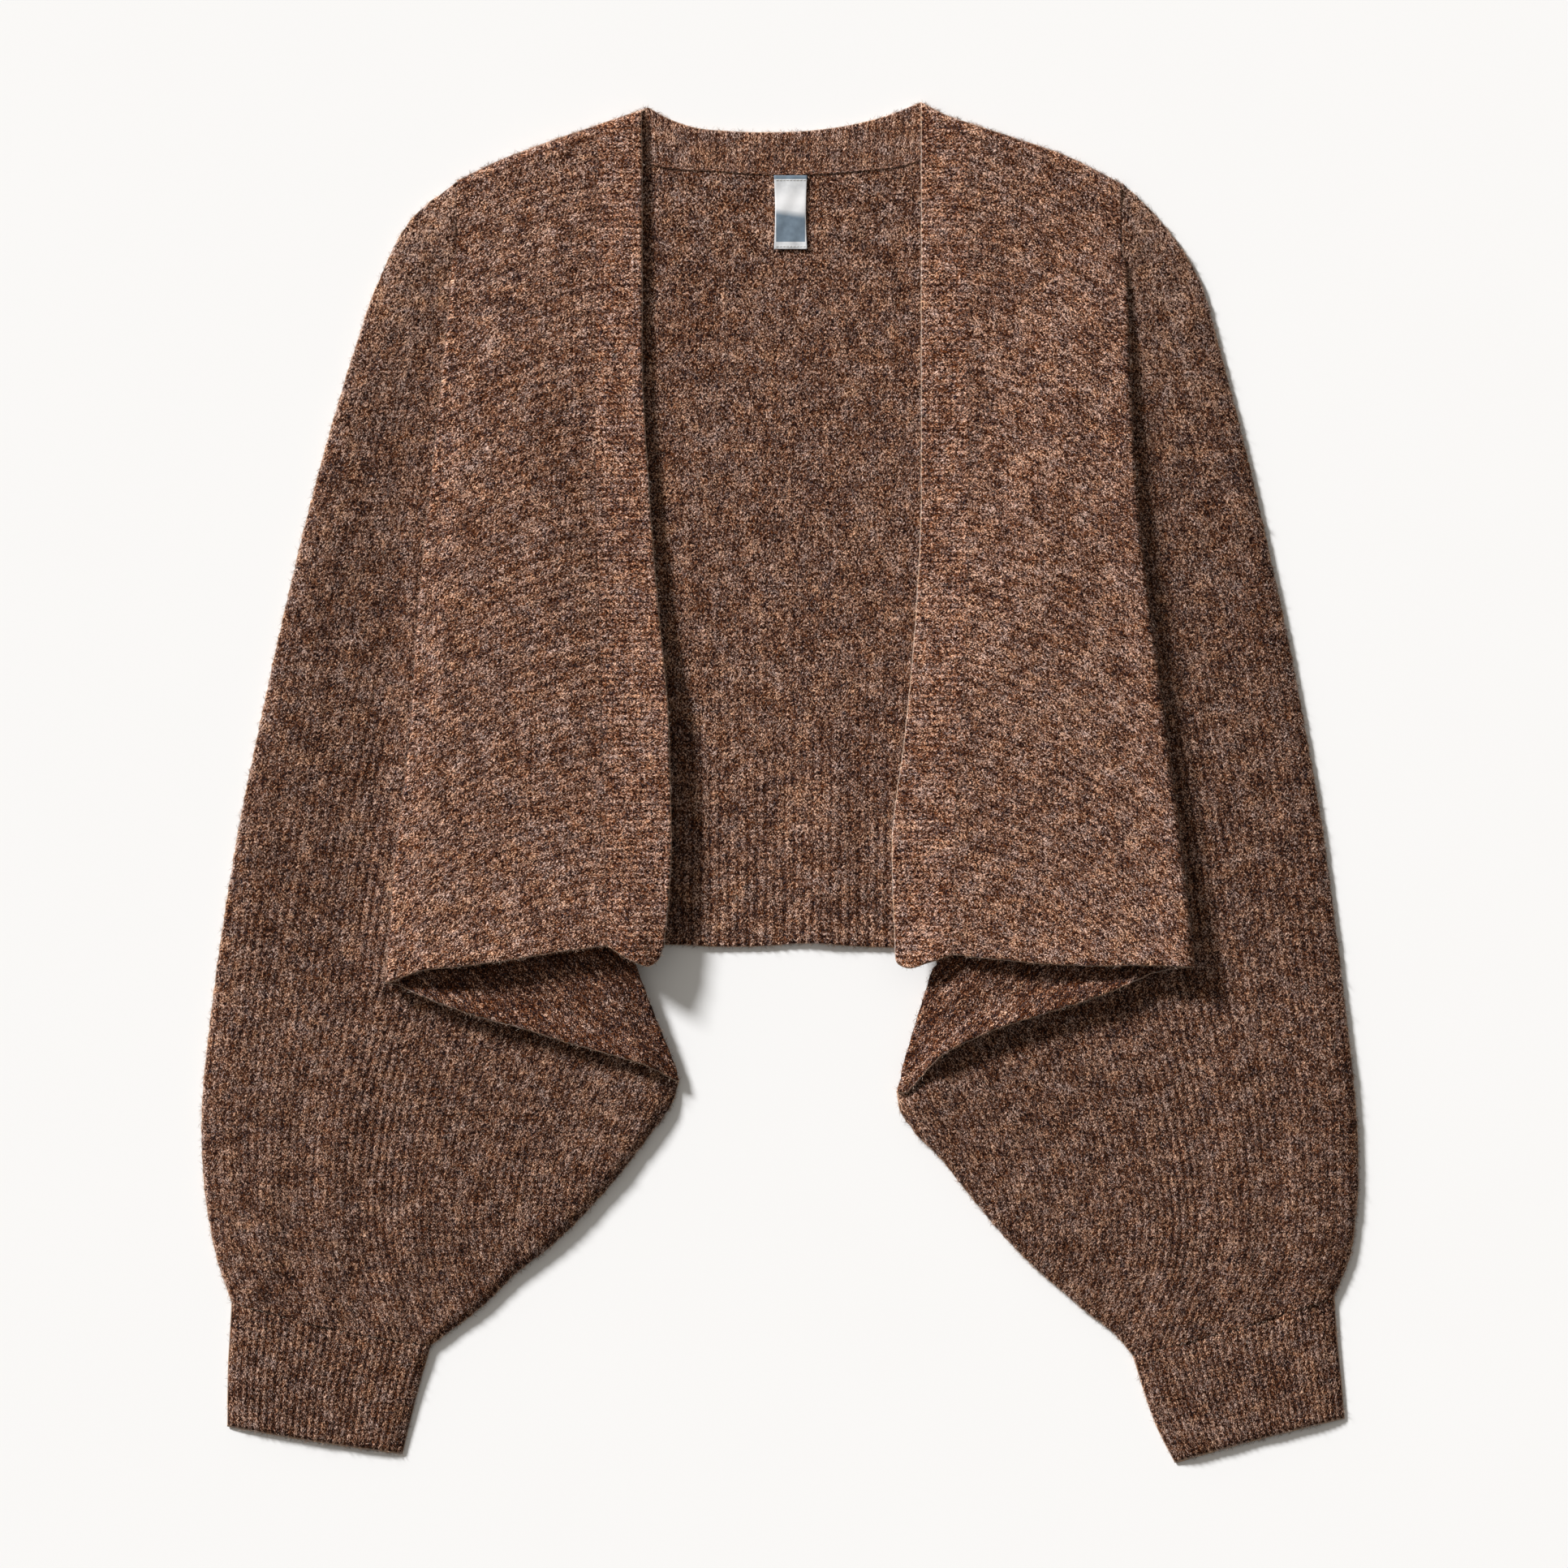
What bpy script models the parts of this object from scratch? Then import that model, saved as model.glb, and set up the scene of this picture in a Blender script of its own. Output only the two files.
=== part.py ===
"""Knitted batwing shrug, laid flat with both sleeves folded down beside the body.

The garment lies on its back on the plane z = 0. Bringing a sleeve down lays a pleat in the front:
the front runs out to its outer fold, turns under it, comes back as a middle layer to a hidden fold
and goes on below as the sleeve. The back lies whole on the table. Each side is worked out in its
own frame, where "out" is the distance from the centre line and "y" points to the neck.
All sizes are in millimetres until the mesh is written.
"""

import math
from collections import namedtuple

import bmesh
import bpy
from mathutils import Vector
from mathutils.geometry import delaunay_2d_cdt

METRES = 0.001

# Cloth
WALL = 2.0
RIB_HEIGHT = 0.45
SEAM_GAP = 0.3
LAYER_GAP = 0.3
FLAT_HEIGHT = 5.2
CAVITY_MAX = 3.6
CAVITY_MIN = 0.4
PLEAT_CAVITY = 0.5
EDGE_ROUND = 5.0
EDGE_REST = 0.35
FRONT_SLOPE_LEAST = 12.0
FRONT_SLOPE_MOST = 48.0
PLUMP_HEIGHT = 1.8
PLUMP_TOP_FADE = 60.0
PLUMP_FOOT = 290.0
PLUMP_FOOT_FADE = 70.0
CREASE_FADE_IN = 25.0
CREASE_FADE_OUT = 60.0

# Slope of the sleeve from the pleat down to the bare sleeve, beside the fold and below the hem
FOLD_SLOPE_FOOT = 16.0
FOLD_SLOPE_LENGTH = 18.0
HEM_SLOPE_FOOT = 12.0
HEM_SLOPE_LENGTH = 15.0

# The turn of the front's cloth under its outer fold
FOLD_GAP = 0.7
TURN = (WALL + FOLD_GAP) / 2
TURN_OUTER = TURN + WALL / 2

# Rib spacing, crest to crest
SLEEVE_PITCH = 4.8
SLEEVE_PITCH_CUFF = 3.9
SLEEVE_CLOSING_TOP = -90.0
SLEEVE_CLOSING_LENGTH = 170.0
FRONT_PITCH = 6.0
BAND_PITCH = 5.0
BACK_PITCH = 4.8
CUFF_PITCH = 3.9
NECKBAND_PITCH = 5.0
MIDDLE_PITCH = 7.0

# Course of the ribs: the front's drop more and more steeply, the cuff's close towards its end
FRONT_RIB_BEND = 110.0
FRONT_RIB_STEEPENING = 0.0058
CUFF_NARROWING = 0.08
CUFF_LEAN_LENGTH = 40.0

# Numbers of rib lines, two to a rib, and the heights between which they are drawn
SLEEVE_LINES = 124
CUFF_LINES = 32
BACK_LINES = 38
NECKBAND_LINES = 32
SLEEVE_SPAN = (-300.0, 312.0)
CUFF_SPAN = (-356.0, -262.0)
FRONT_SPAN = (-110.0, 350.0)
BAND_SPAN = (-100.0, 352.0)
BAND_REACH = (50.0, 105.0)
PANEL_SPAN = (-62.0, 330.0)
HEM_SPAN = (-90.0, -56.0)
NECKBAND_SPAN = (310.0, 354.0)
NECKBAND_HALF = 78.0

# Meshing
FINE = 11.0
COARSE = 16.0
PROBE = 1.0
OVERHANG = 1.4
SHORTEST_RIB = 3.0
ROW_CLEAR = 6.0
SLEEVE_ROWS = (-246, -204, -160, -122, -70, 0, 76, 150, 212, 262)
FRONT_ROWS = (132, 165)
BACK_ROWS = (-20, 50, 130, 230)
HOLLOW_INSETS = (12, 30, 50, 74, 100, 130, 165)
HOLLOW_SPAN = (-262.0, 290.0)
HOLLOW_LINE_STEP = 30.0
HOLLOW_CLEAR = 7.0
BAND_MIDDLE_SPAN = (-70.0, 320.0)
STEP_LINE_START = 45.0
PLEAT_LINE_STEP = 27.0
PLEAT_POINT_STEP = 40.0
FOOT_LINE_STEP = 24.0
UNDERARM_LINE_INSET = 1.6
TURN_ANGLES = (0, 90, 180)
SLOPE_SHARES = (0.0, 0.35, 0.7)
MERGE = 0.05

# Back panel and the strips along its edges
HEM_BAND_TOP = -59.0
BACK_INSET = 3.0
BACK_STEP_HEIGHT = 2.4
STEP_NEAR = 0.3
STEP_FAR = 1.5
SHOWN_MARGIN = 7.0
SHOWN_FADE = 4.0

# Hollow of the cuff
CUFF_CAVITY = 1.2
CUFF_FLOOR = 1.0

# Label sewn below the neck seam
LABEL_WIDTH = 17.2
LABEL_LENGTH = 38.2
LABEL_CENTRE = 5.5
LABEL_TOP = 314.0
LABEL_THICK = 1.0
LABEL_WAIST = 0.6

Section = namedtuple("Section", "y edge seam fold hidden_fold stack_top edge_top tuck_top")
ArmPoint = namedtuple("ArmPoint", "y out")
EdgePoint = namedtuple("EdgePoint", "out y")
Crease = namedtuple("Crease", "out0 y0 out1 y1 width height")
Side = namedtuple(
    "Side",
    "name sign sections arm shoulder hem band_hem middle_hem underarm cuff_seam cuff_outer cuff_end"
    " cuff_inner rib_tilt creases",
)

LEFT = Side(
    name="left",
    sign=-1,
    sections=(
        Section(346.0, 71.5, 95.0, 176.0, 175.0, 5.2, 5.2, 5.2),
        Section(311.0, 71.0, 95.0, 172.5, 171.0, 6.0, 5.2, 6.0),
        Section(274.5, 71.0, 95.0, 169.8, 167.2, 7.8, 5.4, 7.4),
        Section(224.0, 71.0, 95.5, 173.0, 152.5, 11.5, 5.8, 6.2),
        Section(153.0, 67.6, 95.0, 180.2, 135.7, 13.3, 7.0, 8.0),
        Section(90.0, 62.6, 93.5, 186.5, 121.4, 14.0, 8.5, 8.7),
        Section(27.0, 57.1, 91.5, 190.7, 107.9, 14.5, 11.0, 9.2),
        Section(-36.0, 55.9, 90.0, 198.2, 92.8, 14.8, 12.5, 9.5),
        Section(-95.0, 60.5, 89.0, 202.9, 74.4, 14.9, 13.0, 9.6),
        Section(-153.0, 64.0, 89.0, 206.0, 51.7, 12.5, 12.0, 7.2),
    ),
    arm=(
        ArmPoint(310.8, 168.5), ArmPoint(290.6, 191.5), ArmPoint(261.2, 207.0),
        ArmPoint(224.3, 220.0), ArmPoint(140.3, 244.0), ArmPoint(56.3, 263.6),
        ArmPoint(-27.7, 280.8), ArmPoint(-111.7, 293.4), ArmPoint(-174.7, 299.3),
        ArmPoint(-216.7, 297.0), ArmPoint(-250.0, 290.4), ArmPoint(-268.8, 283.8),
    ),
    shoulder=(
        EdgePoint(68.0, 349.2), EdgePoint(83.0, 344.2), EdgePoint(98.3, 339.0),
        EdgePoint(119.7, 331.6), EdgePoint(145.0, 322.0), EdgePoint(168.5, 310.8),
    ),
    hem=(
        EdgePoint(89.0, -84.6), EdgePoint(109.2, -86.9), EdgePoint(142.8, -92.4),
        EdgePoint(166.3, -95.3), EdgePoint(187.0, -98.0), EdgePoint(200.6, -103.2),
    ),
    band_hem=(
        EdgePoint(60.5, -86.0), EdgePoint(62.5, -91.5), EdgePoint(67.2, -94.9),
        EdgePoint(76.0, -92.4), EdgePoint(89.0, -84.6),
    ),
    middle_hem=(
        EdgePoint(200.6, -103.2), EdgePoint(184.8, -110.5), EdgePoint(159.6, -120.1),
        EdgePoint(130.6, -127.9), EdgePoint(106.7, -135.5), EdgePoint(82.7, -142.2),
        EdgePoint(66.8, -147.6), EdgePoint(54.0, -154.5),
    ),
    underarm=(
        EdgePoint(51.9, -153.5), EdgePoint(54.6, -163.5), EdgePoint(67.6, -183.1),
        EdgePoint(84.0, -204.2), EdgePoint(102.5, -224.7), EdgePoint(118.0, -239.8),
        EdgePoint(134.8, -252.8), EdgePoint(154.1, -271.3), EdgePoint(180.6, -291.3),
    ),
    cuff_seam=(EdgePoint(180.6, -291.5), EdgePoint(232.0, -282.5), EdgePoint(283.8, -268.8)),
    cuff_outer=(EdgePoint(283.8, -269.2), EdgePoint(285.8, -307.4), EdgePoint(285.6, -330.5)),
    cuff_end=(
        EdgePoint(285.6, -330.5), EdgePoint(281.5, -333.8), EdgePoint(249.0, -339.8),
        EdgePoint(211.7, -344.8), EdgePoint(194.6, -344.4),
    ),
    cuff_inner=(
        EdgePoint(194.6, -344.4), EdgePoint(192.4, -340.6), EdgePoint(188.0, -318.0),
        EdgePoint(180.9, -291.9),
    ),
    rib_tilt=0.19,
    creases=(
        Crease(270.0, -262.0, 258.0, -150.0, 9.0, 1.3),
        Crease(236.0, -270.0, 222.0, -120.0, 11.0, 1.5),
        Crease(206.0, -276.0, 170.0, -180.0, 9.0, 1.2),
        Crease(228.0, 190.0, 262.0, 10.0, 12.0, 0.8),
    ),
)

RIGHT = Side(
    name="right",
    sign=1,
    sections=(
        Section(352.0, 72.9, 98.0, 184.0, 183.0, 5.2, 5.2, 5.2),
        Section(311.0, 72.9, 98.0, 181.0, 180.0, 6.0, 5.2, 6.0),
        Section(274.5, 72.9, 98.0, 179.4, 176.8, 7.8, 5.4, 7.4),
        Section(224.0, 72.9, 98.0, 180.5, 161.0, 11.5, 5.8, 6.2),
        Section(153.0, 72.9, 98.0, 184.2, 145.0, 13.3, 7.0, 8.0),
        Section(90.0, 70.3, 97.0, 191.1, 131.0, 14.0, 8.5, 8.7),
        Section(27.0, 64.6, 93.5, 199.4, 116.0, 14.5, 11.0, 9.2),
        Section(-36.0, 57.7, 90.0, 207.7, 99.0, 14.8, 12.5, 9.5),
        Section(-95.0, 59.6, 89.0, 214.2, 79.4, 14.9, 13.0, 9.6),
        Section(-158.0, 62.0, 89.0, 219.0, 60.1, 12.5, 12.0, 7.2),
    ),
    arm=(
        ArmPoint(310.4, 175.6), ArmPoint(290.6, 197.0), ArmPoint(261.2, 216.5),
        ArmPoint(224.3, 227.5), ArmPoint(140.3, 248.5), ArmPoint(56.3, 266.5),
        ArmPoint(-27.7, 281.3), ArmPoint(-111.7, 292.0), ArmPoint(-174.7, 298.5),
        ArmPoint(-216.7, 298.8), ArmPoint(-247.0, 294.5), ArmPoint(-265.9, 286.9),
    ),
    shoulder=(
        EdgePoint(72.9, 352.0), EdgePoint(87.4, 344.8), EdgePoint(103.0, 339.7),
        EdgePoint(118.9, 334.4), EdgePoint(148.7, 324.0), EdgePoint(175.6, 310.4),
    ),
    hem=(
        EdgePoint(89.0, -89.0), EdgePoint(112.6, -91.6), EdgePoint(136.5, -93.7),
        EdgePoint(164.0, -94.9), EdgePoint(190.0, -94.6), EdgePoint(211.6, -95.4),
    ),
    band_hem=(
        EdgePoint(59.0, -86.0), EdgePoint(60.6, -93.5), EdgePoint(65.5, -95.9),
        EdgePoint(76.0, -93.4), EdgePoint(89.0, -89.0),
    ),
    middle_hem=(
        EdgePoint(211.6, -95.4), EdgePoint(196.0, -97.8), EdgePoint(171.4, -108.2),
        EdgePoint(139.0, -118.9), EdgePoint(117.6, -125.6), EdgePoint(99.0, -133.2),
        EdgePoint(81.5, -143.2), EdgePoint(73.5, -152.0), EdgePoint(66.0, -160.5),
    ),
    underarm=(
        EdgePoint(60.3, -160.0), EdgePoint(61.6, -168.5), EdgePoint(69.3, -180.6),
        EdgePoint(82.7, -194.5), EdgePoint(96.2, -211.3), EdgePoint(122.2, -241.7),
        EdgePoint(155.0, -271.1), EdgePoint(175.0, -287.5), EdgePoint(182.3, -296.3),
    ),
    cuff_seam=(EdgePoint(182.3, -296.5), EdgePoint(235.0, -283.0), EdgePoint(286.9, -265.9)),
    cuff_outer=(EdgePoint(286.9, -266.3), EdgePoint(288.0, -285.0), EdgePoint(292.0, -326.4)),
    cuff_end=(
        EdgePoint(292.0, -326.4), EdgePoint(288.5, -330.2), EdgePoint(265.9, -334.3),
        EdgePoint(232.3, -344.0), EdgePoint(206.0, -352.0),
    ),
    cuff_inner=(
        EdgePoint(206.0, -352.0), EdgePoint(201.8, -350.2), EdgePoint(195.0, -334.0),
        EdgePoint(182.7, -296.9),
    ),
    rib_tilt=0.22,
    creases=(
        Crease(272.0, -258.0, 262.0, -160.0, 9.0, 1.2),
        Crease(240.0, -266.0, 232.0, -110.0, 12.0, 1.4),
        Crease(208.0, -276.0, 176.0, -170.0, 9.0, 1.3),
        Crease(238.0, 180.0, 266.0, 20.0, 12.0, 0.8),
    ),
)

NECKLINE = (
    EdgePoint(-68.0, 349.2), EdgePoint(-55.0, 342.4), EdgePoint(-44.1, 338.9),
    EdgePoint(-27.7, 337.2), EdgePoint(-3.4, 336.5), EdgePoint(18.1, 337.6),
    EdgePoint(35.3, 340.0), EdgePoint(52.5, 344.2), EdgePoint(72.9, 352.0),
)
NECK_SEAM = (
    EdgePoint(-96.5, 339.6), EdgePoint(-84.0, 328.0), EdgePoint(-62.2, 319.6),
    EdgePoint(-33.2, 317.1), EdgePoint(-3.4, 315.2), EdgePoint(20.2, 315.5),
    EdgePoint(41.6, 317.2), EdgePoint(64.5, 320.2), EdgePoint(86.0, 329.0),
    EdgePoint(100.5, 340.5),
)
BACK_HEM = (
    EdgePoint(-194.0, -98.6), EdgePoint(-150.0, -90.5), EdgePoint(-100.0, -85.2),
    EdgePoint(-52.0, -84.2), EdgePoint(-30.0, -85.2), EdgePoint(-8.0, -84.8),
    EdgePoint(14.0, -83.4), EdgePoint(40.0, -85.0), EdgePoint(58.0, -85.6),
    EdgePoint(100.0, -86.6), EdgePoint(150.0, -90.0), EdgePoint(204.0, -91.0),
)
BACK_CREASES = (
    Crease(24.0, -84.0, 30.0, 40.0, 11.0, 1.0),
    Crease(-44.0, -84.0, -48.0, -10.0, 10.0, 0.8),
    Crease(2.0, 80.0, -12.0, 190.0, 14.0, 0.6),
)

COLOURS = {
    "back": (0.150, 0.080, 0.055),
    "front": (0.170, 0.091, 0.063),
    "band": (0.205, 0.112, 0.077),
    "sleeve": (0.120, 0.062, 0.041),
    "label": (0.62, 0.63, 0.64),
}


# Curves and small geometry ---------------------------------------------------------------------


def smooth_step(value):
    """Ease from 0 to 1 as value goes from 0 to 1."""
    clipped = min(max(value, 0.0), 1.0)
    return clipped * clipped * (3 - 2 * clipped)


def curve_through(knots):
    """Return a function that runs monotonically through (place, value) knots."""
    rows = sorted(knots)
    places = [row[0] for row in rows]
    values = [row[1] for row in rows]
    steps = [b - a for a, b in zip(places, places[1:])]
    slopes = [(b - a) / step for a, b, step in zip(values, values[1:], steps)]
    tangents = [slopes[0]]
    for before, after in zip(slopes, slopes[1:]):
        flat = before * after <= 0
        tangents.append(0.0 if flat else 2 * before * after / (before + after))
    tangents.append(slopes[-1])

    def value_at(place):
        if place <= places[0]:
            return values[0] + tangents[0] * (place - places[0])
        if place >= places[-1]:
            return values[-1] + tangents[-1] * (place - places[-1])
        index = max(i for i, start in enumerate(places) if start <= place)
        step = steps[index]
        t = (place - places[index]) / step
        rise = values[index + 1] - values[index]
        start_bend = tangents[index] * step - rise
        end_bend = rise - tangents[index + 1] * step
        blend = t * (1 - t) * (start_bend * (1 - t) + end_bend * t)
        return values[index] + rise * t + blend

    return value_at


def trace(points, spacing):
    """Sample a smooth line through points, at most spacing apart."""
    knots = [Vector((point[0], point[1])) for point in points]
    before = 2 * knots[0] - knots[1]
    after = 2 * knots[-1] - knots[-2]
    padded = [before] + knots + [after]
    line = []
    for index in range(1, len(padded) - 2):
        p0, p1, p2, p3 = padded[index - 1:index + 3]
        span = (p2 - p1).length
        count = max(1, math.ceil(span / spacing))
        start = tangent(p0, p1, p2) * span
        end = tangent(p1, p2, p3) * span
        for part in range(count):
            t = part / count
            line.append(hermite(p1, start, p2, end, t))
    line.append(knots[-1])
    return [(point.x, point.y) for point in line]


def tangent(before, here, after):
    """Direction of the smooth line at a knot, weighted by the spans beside it."""
    back = here - before
    ahead = after - here
    total = back.length + ahead.length
    return back / back.length * (ahead.length / total) + ahead / ahead.length * (back.length / total)


def hermite(start, start_pull, end, end_pull, t):
    """Point of a cubic between two knots."""
    square = t * t
    cube = square * t
    return (
        start * (2 * cube - 3 * square + 1)
        + start_pull * (cube - 2 * square + t)
        + end * (3 * square - 2 * cube)
        + end_pull * (cube - square)
    )


def join(*chains):
    """Join chains that meet end to end into one closed outline."""
    outline = []
    for chain in chains:
        for point in chain:
            near = outline and math.dist(outline[-1], point) < MERGE
            if not near:
                outline.append(tuple(point))
    if math.dist(outline[0], outline[-1]) < MERGE:
        outline.pop()
    return outline


def counterclockwise(outline):
    """The outline in counterclockwise order."""
    closed = outline + outline[:1]
    turned = sum(a[0] * b[1] - b[0] * a[1] for a, b in zip(closed, closed[1:]))
    return outline if turned > 0 else outline[::-1]


def inside(outline, point):
    """Tell whether a point lies within a closed outline."""
    x, y = point
    odd = False
    previous = outline[-1]
    for current in outline:
        if (current[1] > y) != (previous[1] > y):
            cross = previous[0] + (y - previous[1]) * (current[0] - previous[0]) / (
                current[1] - previous[1]
            )
            if x < cross:
                odd = not odd
        previous = current
    return odd


def distance_to(line, point):
    """Shortest distance from a point to an open line."""
    x, y = point
    best = math.inf
    for (ax, ay), (bx, by) in zip(line, line[1:]):
        dx, dy = bx - ax, by - ay
        t = ((x - ax) * dx + (y - ay) * dy) / (dx * dx + dy * dy)
        t = min(max(t, 0.0), 1.0)
        best = min(best, math.hypot(x - ax - t * dx, y - ay - t * dy))
    return best


def offset_line(line, distance):
    """Shift an open line to its left by distance."""
    shifted = []
    last = len(line) - 1
    for index, (x, y) in enumerate(line):
        ax, ay = line[max(index - 1, 0)]
        bx, by = line[min(index + 1, last)]
        length = math.hypot(bx - ax, by - ay)
        shifted.append((x - (by - ay) / length * distance, y + (bx - ax) / length * distance))
    return shifted


def crossing(a, b, c, d):
    """Point where the line through a and b meets the line through c and d."""
    ab = (b[0] - a[0], b[1] - a[1])
    cd = (d[0] - c[0], d[1] - c[1])
    cross = ab[0] * cd[1] - ab[1] * cd[0]
    t = ((c[0] - a[0]) * cd[1] - (c[1] - a[1]) * cd[0]) / cross
    return (a[0] + t * ab[0], a[1] + t * ab[1])


def even_rows(low, high, spacing):
    """Even steps from low to high, at most spacing apart."""
    count = max(1, math.ceil((high - low) / spacing))
    return [low + (high - low) * part / count for part in range(count + 1)]


def crest(phase):
    """Height of a rib from 0 in its trough to 1 on its crest, once for each whole phase."""
    return abs(1 - 2 * (phase % 1.0))


def rounded(distance):
    """Share of the full height at a distance from a rounded edge."""
    bend = 1 - min(distance / EDGE_ROUND, 1.0)
    return EDGE_REST + (1 - EDGE_REST) * math.sqrt(max(1 - bend * bend, 0.0))


def crease_lift(creases, out, y):
    """Raised height of the soft folds at a point."""
    lift = 0.0
    for fold in creases:
        dx, dy = fold.out1 - fold.out0, fold.y1 - fold.y0
        length = math.hypot(dx, dy)
        along = ((out - fold.out0) * dx + (y - fold.y0) * dy) / length
        across = ((out - fold.out0) * dy - (y - fold.y0) * dx) / length
        fade = smooth_step(along / CREASE_FADE_IN + 1) * smooth_step((length - along) / CREASE_FADE_OUT)
        lift += fold.height * fade * math.exp(-((across / fold.width) ** 2))
    return lift


# Meshing ---------------------------------------------------------------------------------------


class Surface:
    """A triangulated piece of the plan, with lines that its triangles follow."""

    def __init__(self, outline, strips=()):
        points = [Vector(point) for point in counterclockwise(outline)]
        edges = []
        for strip in strips:
            start = len(points)
            points.extend(Vector(point) for point in strip)
            edges.extend((i, i + 1) for i in range(start, len(points) - 1))
        ring = list(range(len(outline)))
        found = delaunay_2d_cdt(points, edges, [ring], 0, MERGE)
        used = [face for face, origin in zip(found[2], found[5]) if origin]
        order = sorted({index for face in used for index in face})
        renumber = {old: new for new, old in enumerate(order)}
        self.points = [tuple(found[0][old]) for old in order]
        self.faces = [tuple(renumber[index] for index in face) for face in used]
        self.loop = self._boundary()

    def _boundary(self):
        """Vertices round the outside, in order."""
        following = {}
        sides = {(f[i], f[(i + 1) % 3]) for f in self.faces for i in range(3)}
        for a, b in sides:
            if (b, a) not in sides:
                following[a] = b
        start = min(following)
        loop = [start]
        while following[loop[-1]] != start:
            loop.append(following[loop[-1]])
        return loop

    def nearest(self, corner):
        """Place in the loop of the vertex nearest to a corner."""
        return min(
            range(len(self.loop)),
            key=lambda place: math.dist(self.points[self.loop[place]], corner),
        )

    def chain(self, start, end):
        """Vertices along the outside from one corner to another, in loop order."""
        first = self.nearest(start)
        last = self.nearest(end)
        count = (last - first) % len(self.loop)
        return [self.loop[(first + step) % len(self.loop)] for step in range(count + 1)]


class Cloth:
    """Collects surfaces and the rims between them into one closed mesh."""

    def __init__(self):
        self.vertices = []
        self.plan = []
        self.faces = []

    def add(self, surface, place, up=True):
        """Add a surface with each point put in space by place; return its first index."""
        first = len(self.vertices)
        self.plan.extend(surface.points)
        self.vertices.extend(place(*point) for point in surface.points)
        for face in surface.faces:
            ordered = face if up else face[::-1]
            self.faces.append(tuple(first + index for index in ordered))
        return first

    def stitch(self, one, two):
        """Join two open chains of vertices that run side by side."""
        i, j = 0, 0
        while i < len(one) - 1 or j < len(two) - 1:
            ahead_one = self._gap(one, i + 1, two, j)
            ahead_two = self._gap(one, i, two, j + 1)
            if ahead_one <= ahead_two:
                self.faces.append((one[i], one[i + 1], two[j]))
                i += 1
            else:
                self.faces.append((one[i], two[j + 1], two[j]))
                j += 1

    def _gap(self, one, i, two, j):
        """Plan distance between two chain places, endless past a chain's end."""
        if i >= len(one) or j >= len(two):
            return math.inf
        return math.dist(self.plan[one[i]], self.plan[two[j]])

    def stitch_loops(self, one, two):
        """Join two closed loops that run side by side."""
        start = min(
            range(len(one)), key=lambda place: math.dist(self.plan[one[place]], self.plan[two[0]])
        )
        turned = one[start:] + one[:start + 1]
        self.stitch(turned, two + two[:1])

    def quad(self, a, b, c, d):
        """Add two triangles over four corners."""
        self.faces.append((a, b, c))
        self.faces.append((a, c, d))

    def write(self, name, colour, sign=1):
        """Make the named object, its plan mirrored when sign is -1."""
        mesh = bpy.data.meshes.new(name)
        frame = bmesh.new()
        corners = [
            frame.verts.new((sign * x * METRES, y * METRES, z * METRES)) for x, y, z in self.vertices
        ]
        for face in self.faces:
            frame.faces.new([corners[index] for index in face])
        bmesh.ops.recalc_face_normals(frame, faces=frame.faces)
        if frame.calc_volume(signed=True) < 0:
            bmesh.ops.reverse_faces(frame, faces=frame.faces)
        frame.to_mesh(mesh)
        frame.free()
        mesh.materials.append(knit_material(name, colour))
        thing = bpy.data.objects.new(name, mesh)
        bpy.context.scene.collection.objects.link(thing)
        return thing


def knit_material(name, colour):
    """A matt wool finish in one colour."""
    material = bpy.data.materials.new(name)
    material.use_nodes = True
    shader = material.node_tree.nodes["Principled BSDF"]
    shader.inputs["Base Color"].default_value = (*COLOURS[colour], 1.0)
    shader.inputs["Roughness"].default_value = 0.9
    shader.inputs["Metallic"].default_value = 0.0
    return material


def rib_strips(line, indices, start, stop, shows, rows):
    """Lines along rib crests and troughs, kept where they show.

    line(index, t) gives a point of rib line index at place t, between start and stop. Each line
    has a point at those of the places in rows that it passes.
    """
    strips = []
    count = int((stop - start) / PROBE)
    for index in indices:
        places = [start + step * PROBE for step in range(count + 1)]
        seen = [shows(*line(index, place)) for place in places]
        first = None
        for place, shown in zip(places + [stop], seen + [False]):
            if shown and first is None:
                first = place
            if not shown and first is not None:
                if place - first >= SHORTEST_RIB:
                    between = [row for row in rows if first + ROW_CLEAR < row < place - ROW_CLEAR]
                    run = [first - OVERHANG] + between + [place + OVERHANG]
                    strips.append([line(index, spot) for spot in run])
                first = None
    return strips


def flat_wall(name, colour, outline, coarse, strips, inner_strips, top, bottom, sign=1):
    """A wall of cloth between two heights over one outline."""
    cloth = Cloth()
    upper = Surface(outline, strips)
    lower = Surface(coarse, inner_strips)
    first = cloth.add(upper, lambda x, y: (x, y, top(x, y)))
    second = cloth.add(lower, lambda x, y: (x, y, bottom(x, y)), up=False)
    cloth.stitch_loops([first + i for i in upper.loop], [second + i for i in lower.loop])
    return cloth.write(name, colour, sign)


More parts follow.
